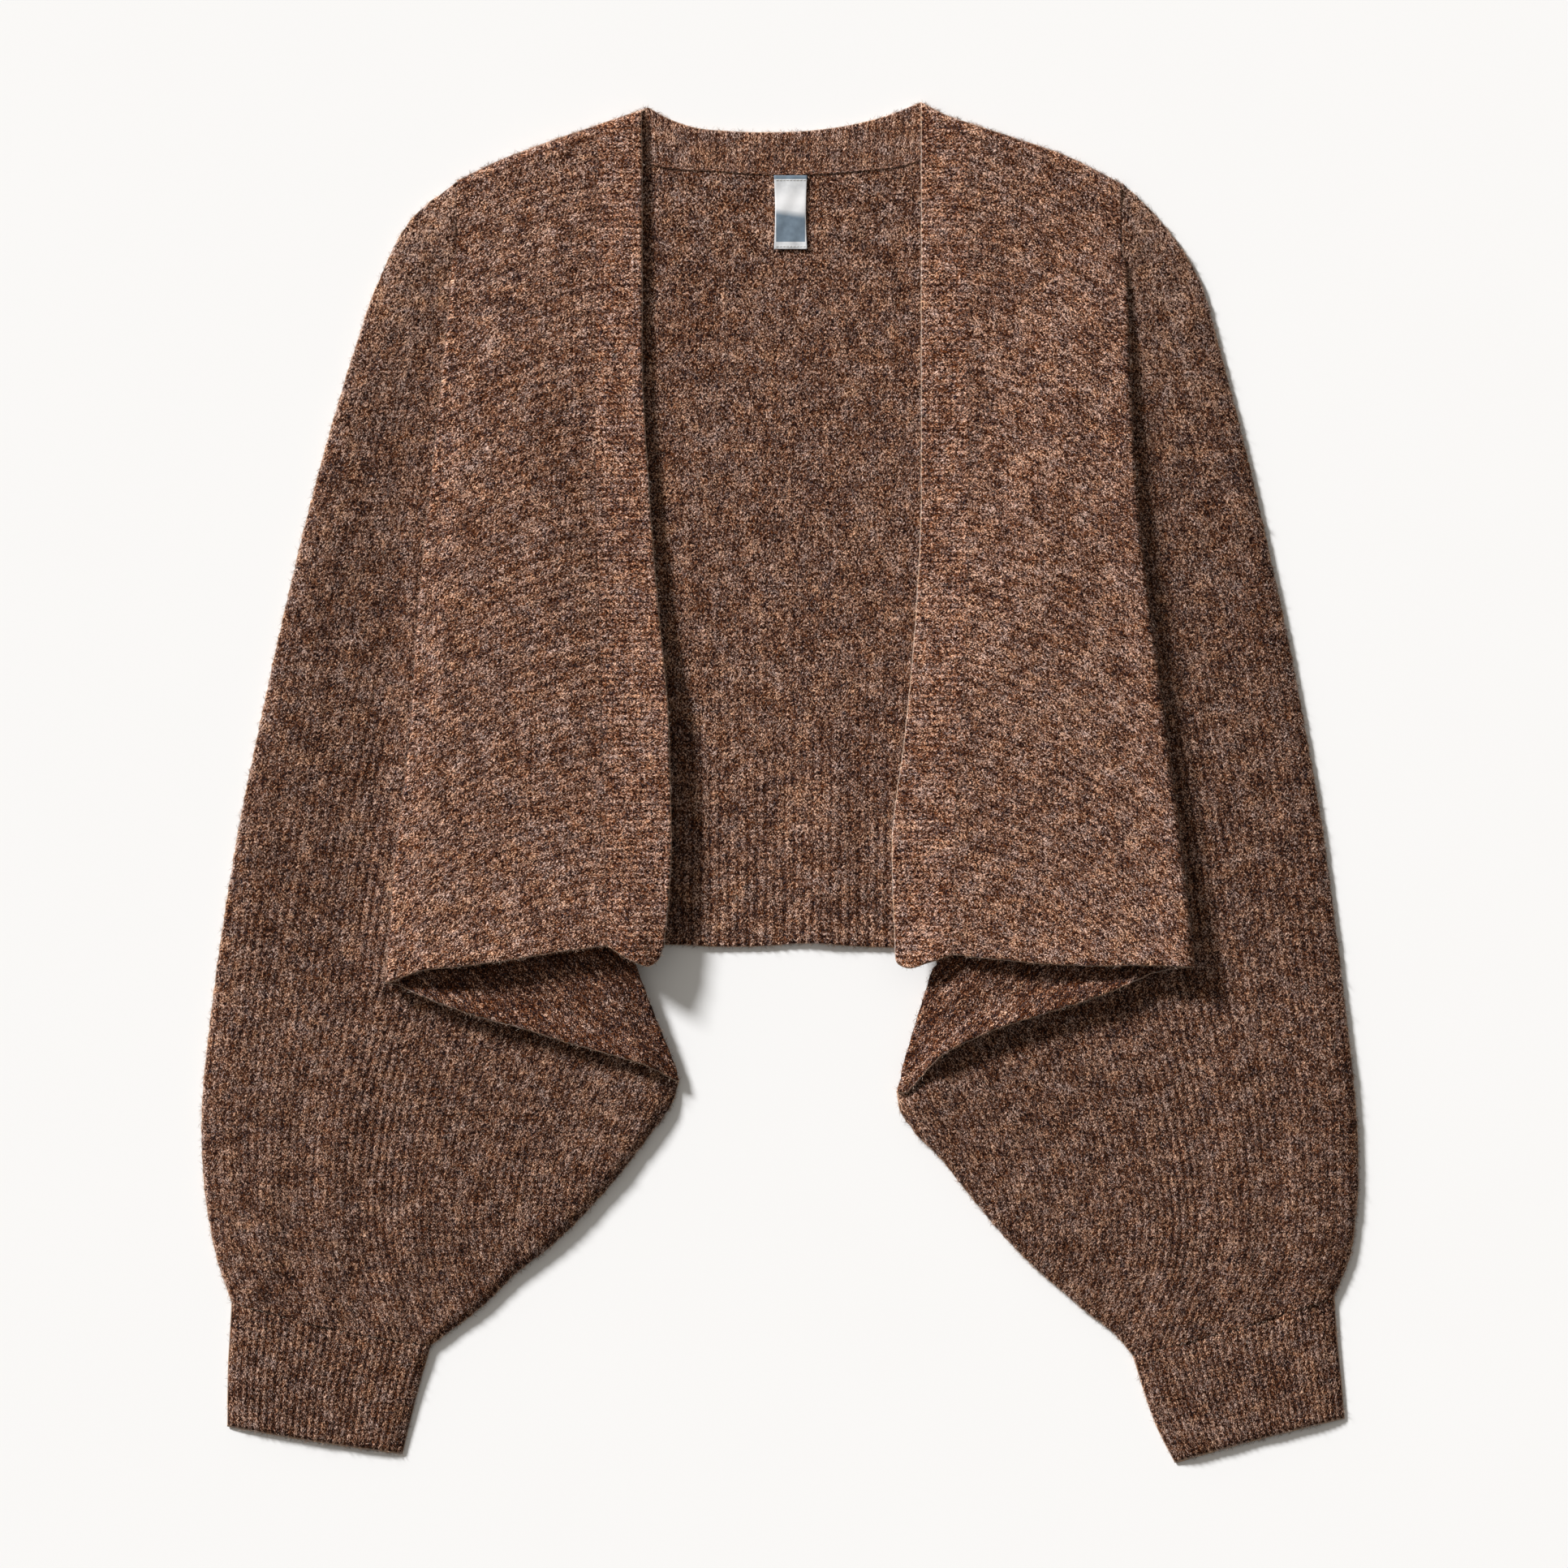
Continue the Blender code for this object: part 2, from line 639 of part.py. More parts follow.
def open_tube(name, colour, chains, coarse_chains, strips, bottom_strips, cavity_strips, heights, sign):
    """A flattened tube of cloth, open at its first and third chain.

    chains are mouth, side, mouth and side in order round the outline. heights holds the top, the
    underside, the cavity's ceiling and the cavity's floor, each a function of the plan.
    """
    top, bottom, ceiling, floor = heights
    upper = Surface(join(*chains), strips)
    lower = Surface(join(*coarse_chains), bottom_strips)
    mouth_a, side_a, mouth_b, side_b = coarse_chains
    inner_a = offset_line(side_a, WALL + SEAM_GAP)
    inner_b = offset_line(side_b, WALL + SEAM_GAP)
    inner_a[0] = crossing(inner_a[0], inner_a[1], mouth_a[-1], mouth_a[-2])
    inner_a[-1] = crossing(inner_a[-1], inner_a[-2], mouth_b[0], mouth_b[1])
    inner_b[0] = crossing(inner_b[0], inner_b[1], mouth_b[-1], mouth_b[-2])
    inner_b[-1] = crossing(inner_b[-1], inner_b[-2], mouth_a[0], mouth_a[1])
    inner_mouth_a = [inner_b[-1]] + mouth_a[1:-1] + [inner_a[0]]
    inner_mouth_b = [inner_a[-1]] + mouth_b[1:-1] + [inner_b[0]]
    hollow = Surface(join(inner_mouth_a, inner_a, inner_mouth_b, inner_b), cavity_strips)
    cloth = Cloth()
    starts = [
        cloth.add(upper, lambda x, y: (x, y, top(x, y))),
        cloth.add(lower, lambda x, y: (x, y, bottom(x, y)), up=False),
        cloth.add(hollow, lambda x, y: (x, y, ceiling(x, y)), up=False),
        cloth.add(hollow, lambda x, y: (x, y, floor(x, y))),
    ]

    def numbered(surface, which, start, end):
        return [starts[which] + index for index in surface.chain(start, end)]

    for side, inner in ((side_a, inner_a), (side_b, inner_b)):
        cloth.stitch(
            numbered(upper, 0, side[0], side[-1]), numbered(lower, 1, side[0], side[-1])
        )
        cloth.stitch(
            numbered(hollow, 2, inner[0], inner[-1]), numbered(hollow, 3, inner[0], inner[-1])
        )
    for mouth, inner in ((mouth_a, inner_mouth_a), (mouth_b, inner_mouth_b)):
        above = numbered(upper, 0, mouth[0], mouth[-1])
        below = numbered(lower, 1, mouth[0], mouth[-1])
        ceiling_edge = numbered(hollow, 2, inner[0], inner[-1])
        floor_edge = numbered(hollow, 3, inner[0], inner[-1])
        cloth.stitch(above, ceiling_edge)
        cloth.stitch(below, floor_edge)
        for end in (0, -1):
            cloth.quad(above[end], below[end], floor_edge[end], ceiling_edge[end])
    return cloth.write(name, colour, sign)


# One side of the garment -----------------------------------------------------------------------


class Half:
    """Heights and outlines of the front, band, sleeve and cuff on one side."""

    def __init__(self, side):
        self.side = side
        for column in Section._fields[1:]:
            knots = [(row.y, getattr(row, column)) for row in side.sections]
            setattr(self, column, curve_through(knots))
        self.arm = curve_through([(row.y, row.out) for row in side.arm])
        self.back_hem = curve_through(
            [(side.sign * row.out, row.y) for row in BACK_HEM if side.sign * row.out > -10]
        )
        self.apex = side.sections[2].y
        self.apex_out = side.sections[2].hidden_fold
        self.tuck = side.sections[3].y
        self.lowest_pleat = side.sections[-1].y
        self.shoulder_tip = side.shoulder[-1]
        self.middle_hem = curve_through([(row.out, row.y) for row in side.middle_hem])
        self.hem = curve_through([(row.out, row.y) for row in side.hem])
        self.hem_corner = side.hem[-1]

    # Front -------------------------------------------------------------------------------------

    def front_top(self, out, y):
        """Height of the front's upper face, ribs aside."""
        hidden = self.hidden_fold(y)
        share = smooth_step(1 - (hidden - out) / self.slope_length(y))
        return self.edge_top(y) + (self.stack_top(y) - self.edge_top(y)) * share

    def slope_length(self, y):
        """Distance over which the front rises to the full height of the stack."""
        return min(max(self.hidden_fold(y) - self.edge(y), FRONT_SLOPE_LEAST), FRONT_SLOPE_MOST)

    def turn_centre(self, y):
        """Distance out of the axis that the front turns round."""
        return self.fold(y) - TURN_OUTER

    def unfold(self, out, y):
        """Place of a middle-layer point on the front's cloth before it is turned under."""
        centre = self.turn_centre(y)
        return (centre + math.pi * TURN + (centre - out), y)

    def front_point(self, out, y, lift):
        """Put a point of the unfolded front in space, lift away from the wall's middle."""
        centre = self.turn_centre(y)
        past = out - centre
        if past <= 0:
            return (out, y, self.front_top(out, y) - WALL / 2 + lift)
        axis = self.stack_top(y) - WALL / 2 - TURN
        angle = past / TURN
        if angle < math.pi:
            reach = TURN + lift
            return (centre + reach * math.sin(angle), y, axis + reach * math.cos(angle))
        return (centre - (past - math.pi * TURN), y, axis - TURN - lift)

    def front_rib(self, out):
        """How far a rib has dropped towards the hem at a distance out."""
        along = out - self.side.sections[0].seam
        bent = min(along, FRONT_RIB_BEND)
        straight = max(along - FRONT_RIB_BEND, 0.0)
        last_slope = self.side.rib_tilt + FRONT_RIB_STEEPENING * FRONT_RIB_BEND
        steepened = FRONT_RIB_STEEPENING * bent * bent / 2
        return -(self.side.rib_tilt * bent + steepened + last_slope * straight)

    def front_phase(self, out, y, pitch):
        """Rib count at a point of the unfolded front."""
        return (y - self.front_rib(out)) / pitch

    def front_outline(self, spacing):
        """Outline of the unfolded front: seam, shoulder, short armhole line, pleat and hems."""
        side = self.side
        gap = SEAM_GAP / 2
        top_y = curve_through([(row.out, row.y) for row in side.shoulder])
        seam_top = self.seam(side.shoulder[2].y) + gap
        shoulder = [(seam_top, top_y(seam_top))]
        shoulder += [tuple(row) for row in side.shoulder if row.out > seam_top + 6]
        line_out = self.apex_out
        shoulder[-1] = (line_out, top_y(line_out))
        pleat = [self.unfold(self.hidden_fold(y), y) for y in self._pleat_rows(spacing)]
        hidden_hem = [self.unfold(*row) for row in trace(side.middle_hem, spacing)][::-1]
        pleat = [point for point in pleat if point[1] > hidden_hem[0][1] + 1]
        hem = trace(side.hem, spacing)[::-1]
        hem[-1] = (hem[-1][0] + gap, hem[-1][1])
        seam_rows = even_rows(hem[-1][1], shoulder[0][1], spacing)
        seam = [(self.seam(y) + gap, y) for y in seam_rows[1:-1]]
        armhole = [shoulder[-1], (line_out, self.apex)]
        turned = [point for point in hidden_hem if point[0] > self.turn_centre(point[1])]
        return join(seam, trace(shoulder, spacing), armhole, pleat, turned, hem)

    def _pleat_rows(self, spacing):
        """Even heights down the pleat, from just below its tip."""
        return even_rows(self.lowest_pleat, self.apex - 5, spacing)[::-1]

    def turn_lines(self, spacing):
        """Lines along the front's turn, at set angles round it."""
        rows = even_rows(self.hem_corner.y - 8, self.apex + 8, spacing)
        return [
            [(self.turn_centre(y) + TURN * math.radians(angle), y) for y in rows]
            for angle in TURN_ANGLES
        ]

    def slope_lines(self, outline):
        """Lines down the slope of the front, so that its inner face follows the outer one."""
        rows = even_rows(self.hem_corner.y, self.apex - ROW_CLEAR, COARSE)
        lines = [
            [(self.hidden_fold(y) - share * self.slope_length(y), y) for y in rows]
            for share in SLOPE_SHARES
        ]
        return [piece for line in lines for piece in kept_inside(line, outline, 2.0)]

    def pleat_lines(self, outline):
        """Lines across the middle layer, so that it follows the height of the stack."""
        lines = []
        for y in even_rows(self.hem_corner.y, self.tuck + 20, PLEAT_LINE_STEP):
            start = self.turn_centre(y) + math.pi * TURN + 4
            stop = self.unfold(self.hidden_fold(y), y)[0]
            if stop - start > 8:
                lines.append([(out, y) for out in even_rows(start, stop - 3, PLEAT_POINT_STEP)])
        return [piece for line in lines for piece in kept_inside(line, outline, 1.0)]

    def build_front(self):
        """The front and the middle layer of its pleat, one turned wall."""
        outline = self.front_outline(FINE)
        coarse = self.front_outline(COARSE)
        start = min(point[0] for point in outline)
        stop = max(self.turn_centre(y) for y in (self.apex, self.hem_corner.y)) + math.pi * TURN + 1

        def ribbed(out, y):
            past_turn = out > self.turn_centre(y) + math.pi * TURN / 2
            return not past_turn and inside(outline, (out, y))

        def line(index, out):
            return (out, index * FRONT_PITCH / 2 + self.front_rib(out))

        low = math.floor(2 * FRONT_SPAN[0] / FRONT_PITCH)
        high = math.ceil(2 * (FRONT_SPAN[1] - self.front_rib(stop)) / FRONT_PITCH)
        strips = rib_strips(line, range(low, high), start - 4, stop, ribbed, FRONT_ROWS)
        strips += self.turn_lines(FINE) + self.pleat_lines(outline)
        inner = self.turn_lines(COARSE) + self.slope_lines(coarse)
        inner += self.pleat_lines(coarse) + self.middle_strips(coarse)

        def outer_point(out, y):
            past = max(0.0, out - self.turn_centre(y) - math.pi * TURN / 2 - OVERHANG)
            fade = 1 - smooth_step(past)
            rise = RIB_HEIGHT * crest(self.front_phase(out, y, FRONT_PITCH)) * fade
            return self.front_point(out, y, WALL / 2 + rise)

        def inner_point(out, y):
            rise = RIB_HEIGHT * crest(self.front_phase(out, y, MIDDLE_PITCH)) * self.wedge(out, y)
            return self.front_point(out, y, -WALL / 2 - rise)

        cloth = Cloth()
        upper = Surface(outline, strips)
        lower = Surface(coarse, inner)
        first = cloth.add(upper, outer_point)
        second = cloth.add(lower, inner_point, up=False)
        cloth.stitch_loops([first + i for i in upper.loop], [second + i for i in lower.loop])
        return cloth.write(self.side.name + "_front", "front", self.side.sign)

    def wedge(self, out, y):
        """1 where the middle layer shows below the front's hem, else 0."""
        past = out - self.turn_centre(y) - math.pi * TURN
        if past < 8:
            return 0.0
        laid = self.turn_centre(y) - past
        return smooth_step((self.hem(laid) + 6 - y) / 4)

    def middle_strips(self, outline):
        """Rib lines on the part of the middle layer that shows."""

        def shown(out, y):
            return self.wedge(out, y) > 0.1 and inside(outline, (out, y))

        def line(index, out):
            return (out, index * MIDDLE_PITCH / 2 + self.front_rib(out))

        start = self.fold(self.apex)
        stop = self.unfold(self.hidden_fold(self.lowest_pleat), self.lowest_pleat)[0] + 4
        low = math.floor(2 * (self.lowest_pleat - 10) / MIDDLE_PITCH)
        high = math.ceil(2 * (-80 - self.front_rib(stop)) / MIDDLE_PITCH)
        return rib_strips(line, range(low, high), start, stop, shown, ())

    # Band --------------------------------------------------------------------------------------

    def build_band(self):
        """The ribbed band along the front's opening."""
        side = self.side
        gap = SEAM_GAP / 2

        def outline_at(spacing):
            top_y = curve_through([(row.out, row.y) for row in side.shoulder])
            seam_top = self.seam(side.shoulder[2].y) - gap
            shoulder = trace(
                [side.shoulder[0], side.shoulder[1], (seam_top, top_y(seam_top))], spacing
            )[::-1]
            hem = trace(side.band_hem, spacing)
            hem[-1] = (hem[-1][0] - gap, hem[-1][1])
            rows = even_rows(hem[0][1], side.shoulder[0].y, spacing)
            edge = [(self.edge(y), y) for y in rows[1:-2]][::-1]
            seam_rows = even_rows(hem[-1][1], shoulder[0][1], spacing)
            seam = [(self.seam(y) - gap, y) for y in seam_rows[1:-1]]
            return join(edge, hem, seam, shoulder)

        outline = outline_at(FINE)

        def line(index, out):
            return (out, index * BAND_PITCH / 2)

        low = math.floor(2 * BAND_SPAN[0] / BAND_PITCH)
        high = math.ceil(2 * BAND_SPAN[1] / BAND_PITCH)
        strips = rib_strips(
            line, range(low, high), *BAND_REACH, lambda out, y: inside(outline, (out, y)), ()
        )

        def top(out, y):
            return self.front_top(out, y) + RIB_HEIGHT * crest(y / BAND_PITCH)

        def bottom(out, y):
            return self.front_top(out, y) - WALL

        rows = even_rows(*BAND_MIDDLE_SPAN, COARSE)
        middle = [((self.edge(y) + self.seam(y)) / 2, y) for y in rows]
        flat_wall(
            side.name + "_front_band", "band", outline, outline_at(COARSE), strips, [middle],
            top, bottom, side.sign,
        )

    # Sleeve ------------------------------------------------------------------------------------

    def over_back(self, out, y, margin=0.9):
        """Tell whether a point lies above the back panel."""
        return out < self.back_side(y) + margin and y > self.back_hem(out) - margin

    def back_side(self, y):
        """Distance out of the back panel's hidden side."""
        return self.fold(y) - BACK_INSET

    def pleat_share(self, out, y):
        """1 below the pleat, easing to 0 on the bare sleeve."""
        across = smooth_step((self.fold(y) + FOLD_SLOPE_FOOT - out) / FOLD_SLOPE_LENGTH)
        low = self.middle_hem(min(max(out, self.side.middle_hem[-1].out), self.hem_corner.out))
        down = smooth_step((y - low + HEM_SLOPE_FOOT) / HEM_SLOPE_LENGTH)
        return across * down

    def sleeve_top(self, out, y):
        """Height of the sleeve's upper face, ribs aside."""
        share = self.pleat_share(out, y)
        lift = crease_lift(self.side.creases, out, y) * (1 - share)
        from_hem = smooth_step((self.hem_corner.y - y) / PLUMP_TOP_FADE)
        plump = from_hem * smooth_step((y + PLUMP_FOOT) / PLUMP_FOOT_FADE)
        open_height = FLAT_HEIGHT + lift + PLUMP_HEIGHT * plump * (1 - share)
        pleat_height = self.tuck_top(y)
        height = open_height + (pleat_height - open_height) * share
        edges = (self.arm_edge, self.under_edge)
        return height * rounded(min(distance_to(edge, (out, y)) for edge in edges))

    def sleeve_underside(self, out, y):
        """Height of the sleeve's lower face: on the table, or on the back panel."""
        return BACK_STEP_HEIGHT if self.over_back(out, y) else 0.0

    def cavity_ceiling(self, out, y):
        """Height of the hollow's upper face."""
        return self.sleeve_top(out, y) - WALL

    def cavity_floor(self, out, y):
        """Height of the hollow's lower face."""
        ceiling = self.cavity_ceiling(out, y)
        share = self.pleat_share(out, y)
        room = ceiling - WALL - self.sleeve_underside(out, y)
        room = min(max(room, CAVITY_MIN), CAVITY_MAX)
        return ceiling - (room + (PLEAT_CAVITY - room) * share)

    def sleeve_chains(self, spacing):
        """Mouth at the pleat, underarm edge, mouth at the cuff and arm edge."""
        side = self.side
        gap = SEAM_GAP
        tip = (self.apex_out + gap, self.shoulder_tip.y)
        line = [(self.apex_out + gap, y) for y in even_rows(self.apex, tip[1], spacing)][::-1]
        clear = gap + RIB_HEIGHT
        rows = even_rows(self.tuck, self.apex - 1, spacing)
        beside = [(self.fold(y) + clear, y) for y in rows][::-1]
        under = [(self.hidden_fold(y), y) for y in even_rows(self.lowest_pleat, self.tuck, spacing)]
        under = [point for point in under if point[1] > side.underarm[0].y + 2][::-1]
        cross = [beside[-1], (self.hidden_fold(self.tuck), self.tuck)]
        mouth_a = line + beside + cross[1:] + under[1:] + [tuple(side.underarm[0])]
        side_a = trace(side.underarm, spacing)
        mouth_b = trace(side.cuff_seam, spacing)
        mouth_b[0] = side_a[-1]
        arm = [row for row in side.arm if row.y < tip[1] - 4]
        side_b = trace([(row.out, row.y) for row in arm[::-1]] + [tip], spacing)
        side_b[0] = mouth_b[-1]
        return mouth_a, side_a, mouth_b, side_b

    def rib_guide(self, y):
        """Distance out of the line that the sleeve's ribs run beside."""
        start = self.side.arm[3]
        if y <= start.y:
            return self.arm(y)
        slope = (self.side.arm[4].out - start.out) / (self.side.arm[4].y - start.y)
        return start.out + slope * (y - start.y)

    def sleeve_pitch(self, y):
        """Rib spacing, closer near the cuff."""
        share = smooth_step((SLEEVE_CLOSING_TOP - y) / SLEEVE_CLOSING_LENGTH)
        return SLEEVE_PITCH + (SLEEVE_PITCH_CUFF - SLEEVE_PITCH) * share

    def build_sleeve(self):
        """The sleeve, a flattened tube that runs in under the pleat."""
        chains = self.sleeve_chains(FINE)
        coarse = self.sleeve_chains(COARSE)
        outline = join(*chains)
        self.arm_edge = chains[3]
        self.under_edge = chains[1]

        def line(index, y):
            return (self.rib_guide(y) - (index + 0.5) * self.sleeve_pitch(y) / 2, y)

        def shown(out, y):
            hidden = out < self.fold(y) - 5 and y > self.middle_hem(out) + 4
            return not hidden and inside(outline, (out, y))

        def rise(out, y):
            hidden = smooth_step((self.fold(y) - out) / 5) * smooth_step((y - self.middle_hem(out)) / 4)
            return RIB_HEIGHT * crest((self.rib_guide(y) - out) / self.sleeve_pitch(y) - 0.25) * (
                1 - hidden
            )

        strips = rib_strips(line, range(SLEEVE_LINES), *SLEEVE_SPAN, shown, SLEEVE_ROWS)
        strips.append(offset_line(self.under_edge, UNDERARM_LINE_INSET)[1:-1])
        strips.append(self.foot_line())
        steps = self.step_lines()
        hollow_lines = [
            [(self.rib_guide(y) - inset, y) for y in even_rows(*HOLLOW_SPAN, HOLLOW_LINE_STEP)]
            for inset in HOLLOW_INSETS
        ]
        hollow = join(*coarse)
        hollow_strips = [
            piece
            for line_points in hollow_lines
            for piece in kept_inside(line_points, hollow, HOLLOW_CLEAR)
        ]
        heights = (
            lambda out, y: self.sleeve_top(out, y) + rise(out, y),
            self.sleeve_underside,
            self.cavity_ceiling,
            self.cavity_floor,
        )
        open_tube(
            self.side.name + "_sleeve", "sleeve", chains, coarse, strips, steps, hollow_strips,
            heights, self.side.sign,
        )

    def foot_line(self):
        """Line at the foot of the slope from the pleat down to the bare sleeve."""
        rows = even_rows(self.hem_corner.y - 4, self.apex - 10, FOOT_LINE_STEP)[::-1]
        beside = [(self.fold(y) + FOLD_SLOPE_FOOT - 1, y) for y in rows]
        outs = even_rows(self.side.underarm[0].out + 12, self.hem_corner.out, 12.0)[::-1]
        below = [(out, self.middle_hem(out) - HEM_SLOPE_FOOT) for out in outs]
        return beside + below

    def step_lines(self):
        """Two lines on the sleeve's underside between which it steps down from the back panel."""
        lines = []
        for shift in (STEP_NEAR, STEP_FAR):
            corner_y = self.back_hem(BACK_HEM[-1].out - 6) - shift
            down = [
                (self.back_side(y) + shift, y) for y in even_rows(corner_y, self.tuck + 3, COARSE)
            ][::-1]
            outs = even_rows(STEP_LINE_START, down[-1][0], COARSE)[::-1]
            across = [(out, self.back_hem(out) - shift) for out in outs]
            lines.append(down[:-1] + across)
        return lines

    # Cuff --------------------------------------------------------------------------------------

    def build_cuff(self):
        """The ribbed cuff, a short flattened tube."""
        side = self.side
        first, last = side.cuff_seam[0], side.cuff_seam[-1]

        def chains_at(spacing):
            seam = [(out, y - SEAM_GAP) for out, y in trace(side.cuff_seam, spacing)][::-1]
            outer = trace(side.cuff_outer, spacing)[::-1]
            end = trace(side.cuff_end, spacing)[::-1]
            inner = trace(side.cuff_inner, spacing)[::-1]
            seam[0] = outer[-1]
            seam[-1] = inner[0]
            return seam, inner, end, outer

        seam, inner, end, outer = chains_at(FINE)

        middle = (first.out + last.out) / 2
        lean = (side.cuff_end[-1].out - first.out) / 100 * CUFF_LEAN_LENGTH

        def down_share(y):
            return (first.y - y) / (first.y - side.cuff_end[-1].y)

        def spread(y):
            return 1 - CUFF_NARROWING * down_share(y)

        def line(index, y):
            return (middle + index * CUFF_PITCH / 2 * spread(y) + lean * down_share(y), y)

        def phase(out, y):
            return (out - lean * down_share(y) - middle) / spread(y) / CUFF_PITCH

        outline = join(seam, inner, end, outer)
        lines = range(-CUFF_LINES, CUFF_LINES + 1)
        strips = rib_strips(line, lines, *CUFF_SPAN, lambda out, y: inside(outline, (out, y)), ())

        def top(out, y):
            nearest = min(distance_to(edge, (out, y)) for edge in (outer, inner))
            return FLAT_HEIGHT * rounded(nearest)

        heights = (
            lambda out, y: top(out, y) + RIB_HEIGHT * crest(phase(out, y)),
            lambda out, y: 0.0,
            lambda out, y: top(out, y) - WALL,
            lambda out, y: max(top(out, y) - WALL - CUFF_CAVITY, CUFF_FLOOR),
        )
        coarse = chains_at(COARSE)
        open_tube(
            side.name + "_cuff", "sleeve", (seam, inner, end, outer), coarse, strips, (), (),
            heights, side.sign,
        )


def kept_inside(line, outline, margin):
    """Runs of a line that lie well within an outline."""
    closed = outline + outline[:1]
    runs = []
    run = []
    for point in line:
        if inside(outline, point) and distance_to(closed, point) > margin:
            run.append(point)
        else:
            if len(run) > 1:
                runs.append(run)
            run = []
    if len(run) > 1:
        runs.append(run)
    return runs


# Back ------------------------------------------------------------------------------------------


def back_top(shown):
    """Height function of the back's upper face, ribbed where shown is 1."""

    def top(out, y):
        rib = RIB_HEIGHT * crest(out / BACK_PITCH)
        return WALL + (rib + crease_lift(BACK_CREASES, out, y)) * shown(out, y)

    return top


def build_back(halves):
    """The back panel, its hem band, its neckband and the label."""
    left, right = halves

    def shown(out, y):
        half = left if out < 0 else right
        return smooth_step((half.edge(y) + SHOWN_MARGIN - abs(out)) / SHOWN_FADE)

    def line(index, y):
        return (index * BACK_PITCH / 2, y)

    gap = SEAM_GAP / 2
    lines = range(-BACK_LINES, BACK_LINES + 1)

    def panel_outline(spacing):
        left_out = -left.apex_out
        right_out = right.apex_out
        left_top = curve_through([(-row.out, row.y) for row in LEFT.shoulder])
        right_top = curve_through([(row.out, row.y) for row in RIGHT.shoulder])
        neck = trace([(row.out, row.y - gap) for row in NECK_SEAM], spacing)
        right_rows = [(row.out, row.y) for row in RIGHT.shoulder[3:-1]]
        right_rows.append((right_out, right_top(right_out)))
        right_shoulder = trace([neck[-1]] + right_rows, spacing)
        left_rows = [(-row.out, row.y) for row in LEFT.shoulder[-2:2:-1]]
        left_rows.insert(0, (left_out, left_top(left_out)))
        left_shoulder = trace(left_rows + [neck[0]], spacing)
        rows = even_rows(HEM_BAND_TOP + gap, left.apex - 1, spacing)
        down = [(right.back_side(y), y) for y in rows][::-1]
        up = [(-left.back_side(y), y) for y in rows]
        outs = even_rows(up[0][0], down[-1][0], spacing)[::-1]
        bottom = [(out, HEM_BAND_TOP + gap) for out in outs]
        return join(neck, right_shoulder, down, bottom, up, left_shoulder)

    outline = panel_outline(FINE)

    def panel_shown(out, y):
        return shown(out, y) > 0.02 and inside(outline, (out, y))

    strips = rib_strips(line, lines, *PANEL_SPAN, panel_shown, BACK_ROWS)
    flat_wall(
        "back_panel", "back", outline, panel_outline(COARSE), strips, (), back_top(shown),
        lambda out, y: 0.0,
    )

    def hem_outline(spacing):
        low = trace(BACK_HEM, spacing)
        top_y = HEM_BAND_TOP - gap
        left_end = (-left.back_side(top_y), top_y)
        right_end = (right.back_side(top_y), top_y)
        low[0] = (-left.back_side(low[0][1]), low[0][1])
        low[-1] = (right.back_side(low[-1][1]), low[-1][1])
        top = [(out, top_y) for out in even_rows(left_end[0], right_end[0], spacing)][::-1]
        return join(low, top)

    hem = hem_outline(FINE)

    def hem_shown(out, y):
        return shown(out, y) > 0.02 and inside(hem, (out, y))

    strips = rib_strips(line, lines, *HEM_SPAN, hem_shown, ())
    flat_wall(
        "back_hem_band", "back", hem, hem_outline(COARSE), strips, (), back_top(shown),
        lambda out, y: 0.0,
    )
    build_neckband()
    build_label()


def build_neckband():
    """The ribbed band round the back of the neck."""
    gap = SEAM_GAP / 2

    def outline_at(spacing):
        top = trace(NECKLINE, spacing)[::-1]
        low = trace([(row.out, row.y + gap) for row in NECK_SEAM], spacing)
        left_turn = (-LEFT.shoulder[1].out, LEFT.shoulder[1].y)
        left_end = trace([NECKLINE[0], left_turn, low[0]], spacing)
        right_end = trace([low[-1], RIGHT.shoulder[1], NECKLINE[-1]], spacing)
        return join(low, right_end, top, left_end)

    outline = outline_at(FINE)

    def line(index, y):
        return (index * NECKBAND_PITCH / 2, y)

    def shown(out, y):
        return inside(outline, (out, y)) and abs(out) < NECKBAND_HALF

    def top(out, y):
        share = smooth_step((NECKBAND_HALF + SHOWN_FADE / 2 - abs(out)) / SHOWN_FADE)
        return WALL + RIB_HEIGHT * crest(out / NECKBAND_PITCH) * share

    lines = range(-NECKBAND_LINES, NECKBAND_LINES + 1)
    strips = rib_strips(line, lines, *NECKBAND_SPAN, shown, ())
    flat_wall(
        "back_neckband", "band", outline, outline_at(COARSE), strips, (), top, lambda out, y: 0.0
    )


def build_label():
    """The woven label, a thin strip that lies on the back panel's ribs."""
    low = LABEL_TOP - LABEL_LENGTH
    lift = WALL + RIB_HEIGHT + LAYER_GAP
    half = LABEL_WIDTH / 2
    rows = (
        (low, half), (low + LABEL_LENGTH / 2, half - LABEL_WAIST), (LABEL_TOP, half),
    )
    right = [(LABEL_CENTRE + reach, y) for y, reach in rows]
    left = [(LABEL_CENTRE - reach, y) for y, reach in rows][::-1]
    outline = right + left

    def base(out, y):
        return lift + crease_lift(BACK_CREASES, out, y)

    flat_wall(
        "neck_label", "label", outline, outline, (), (),
        lambda out, y: base(out, y) + LABEL_THICK, base,
    )


def clear_scene():
    """Remove every object of the scene."""
    for thing in list(bpy.data.objects):
        bpy.data.objects.remove(thing, do_unlink=True)


def main():
    """Build the whole garment."""
    clear_scene()
    halves = (Half(LEFT), Half(RIGHT))
    build_back(halves)
    for half in halves:
        half.build_sleeve()
        half.build_cuff()
        half.build_front()
        half.build_band()


if __name__ == "__main__":
    main()
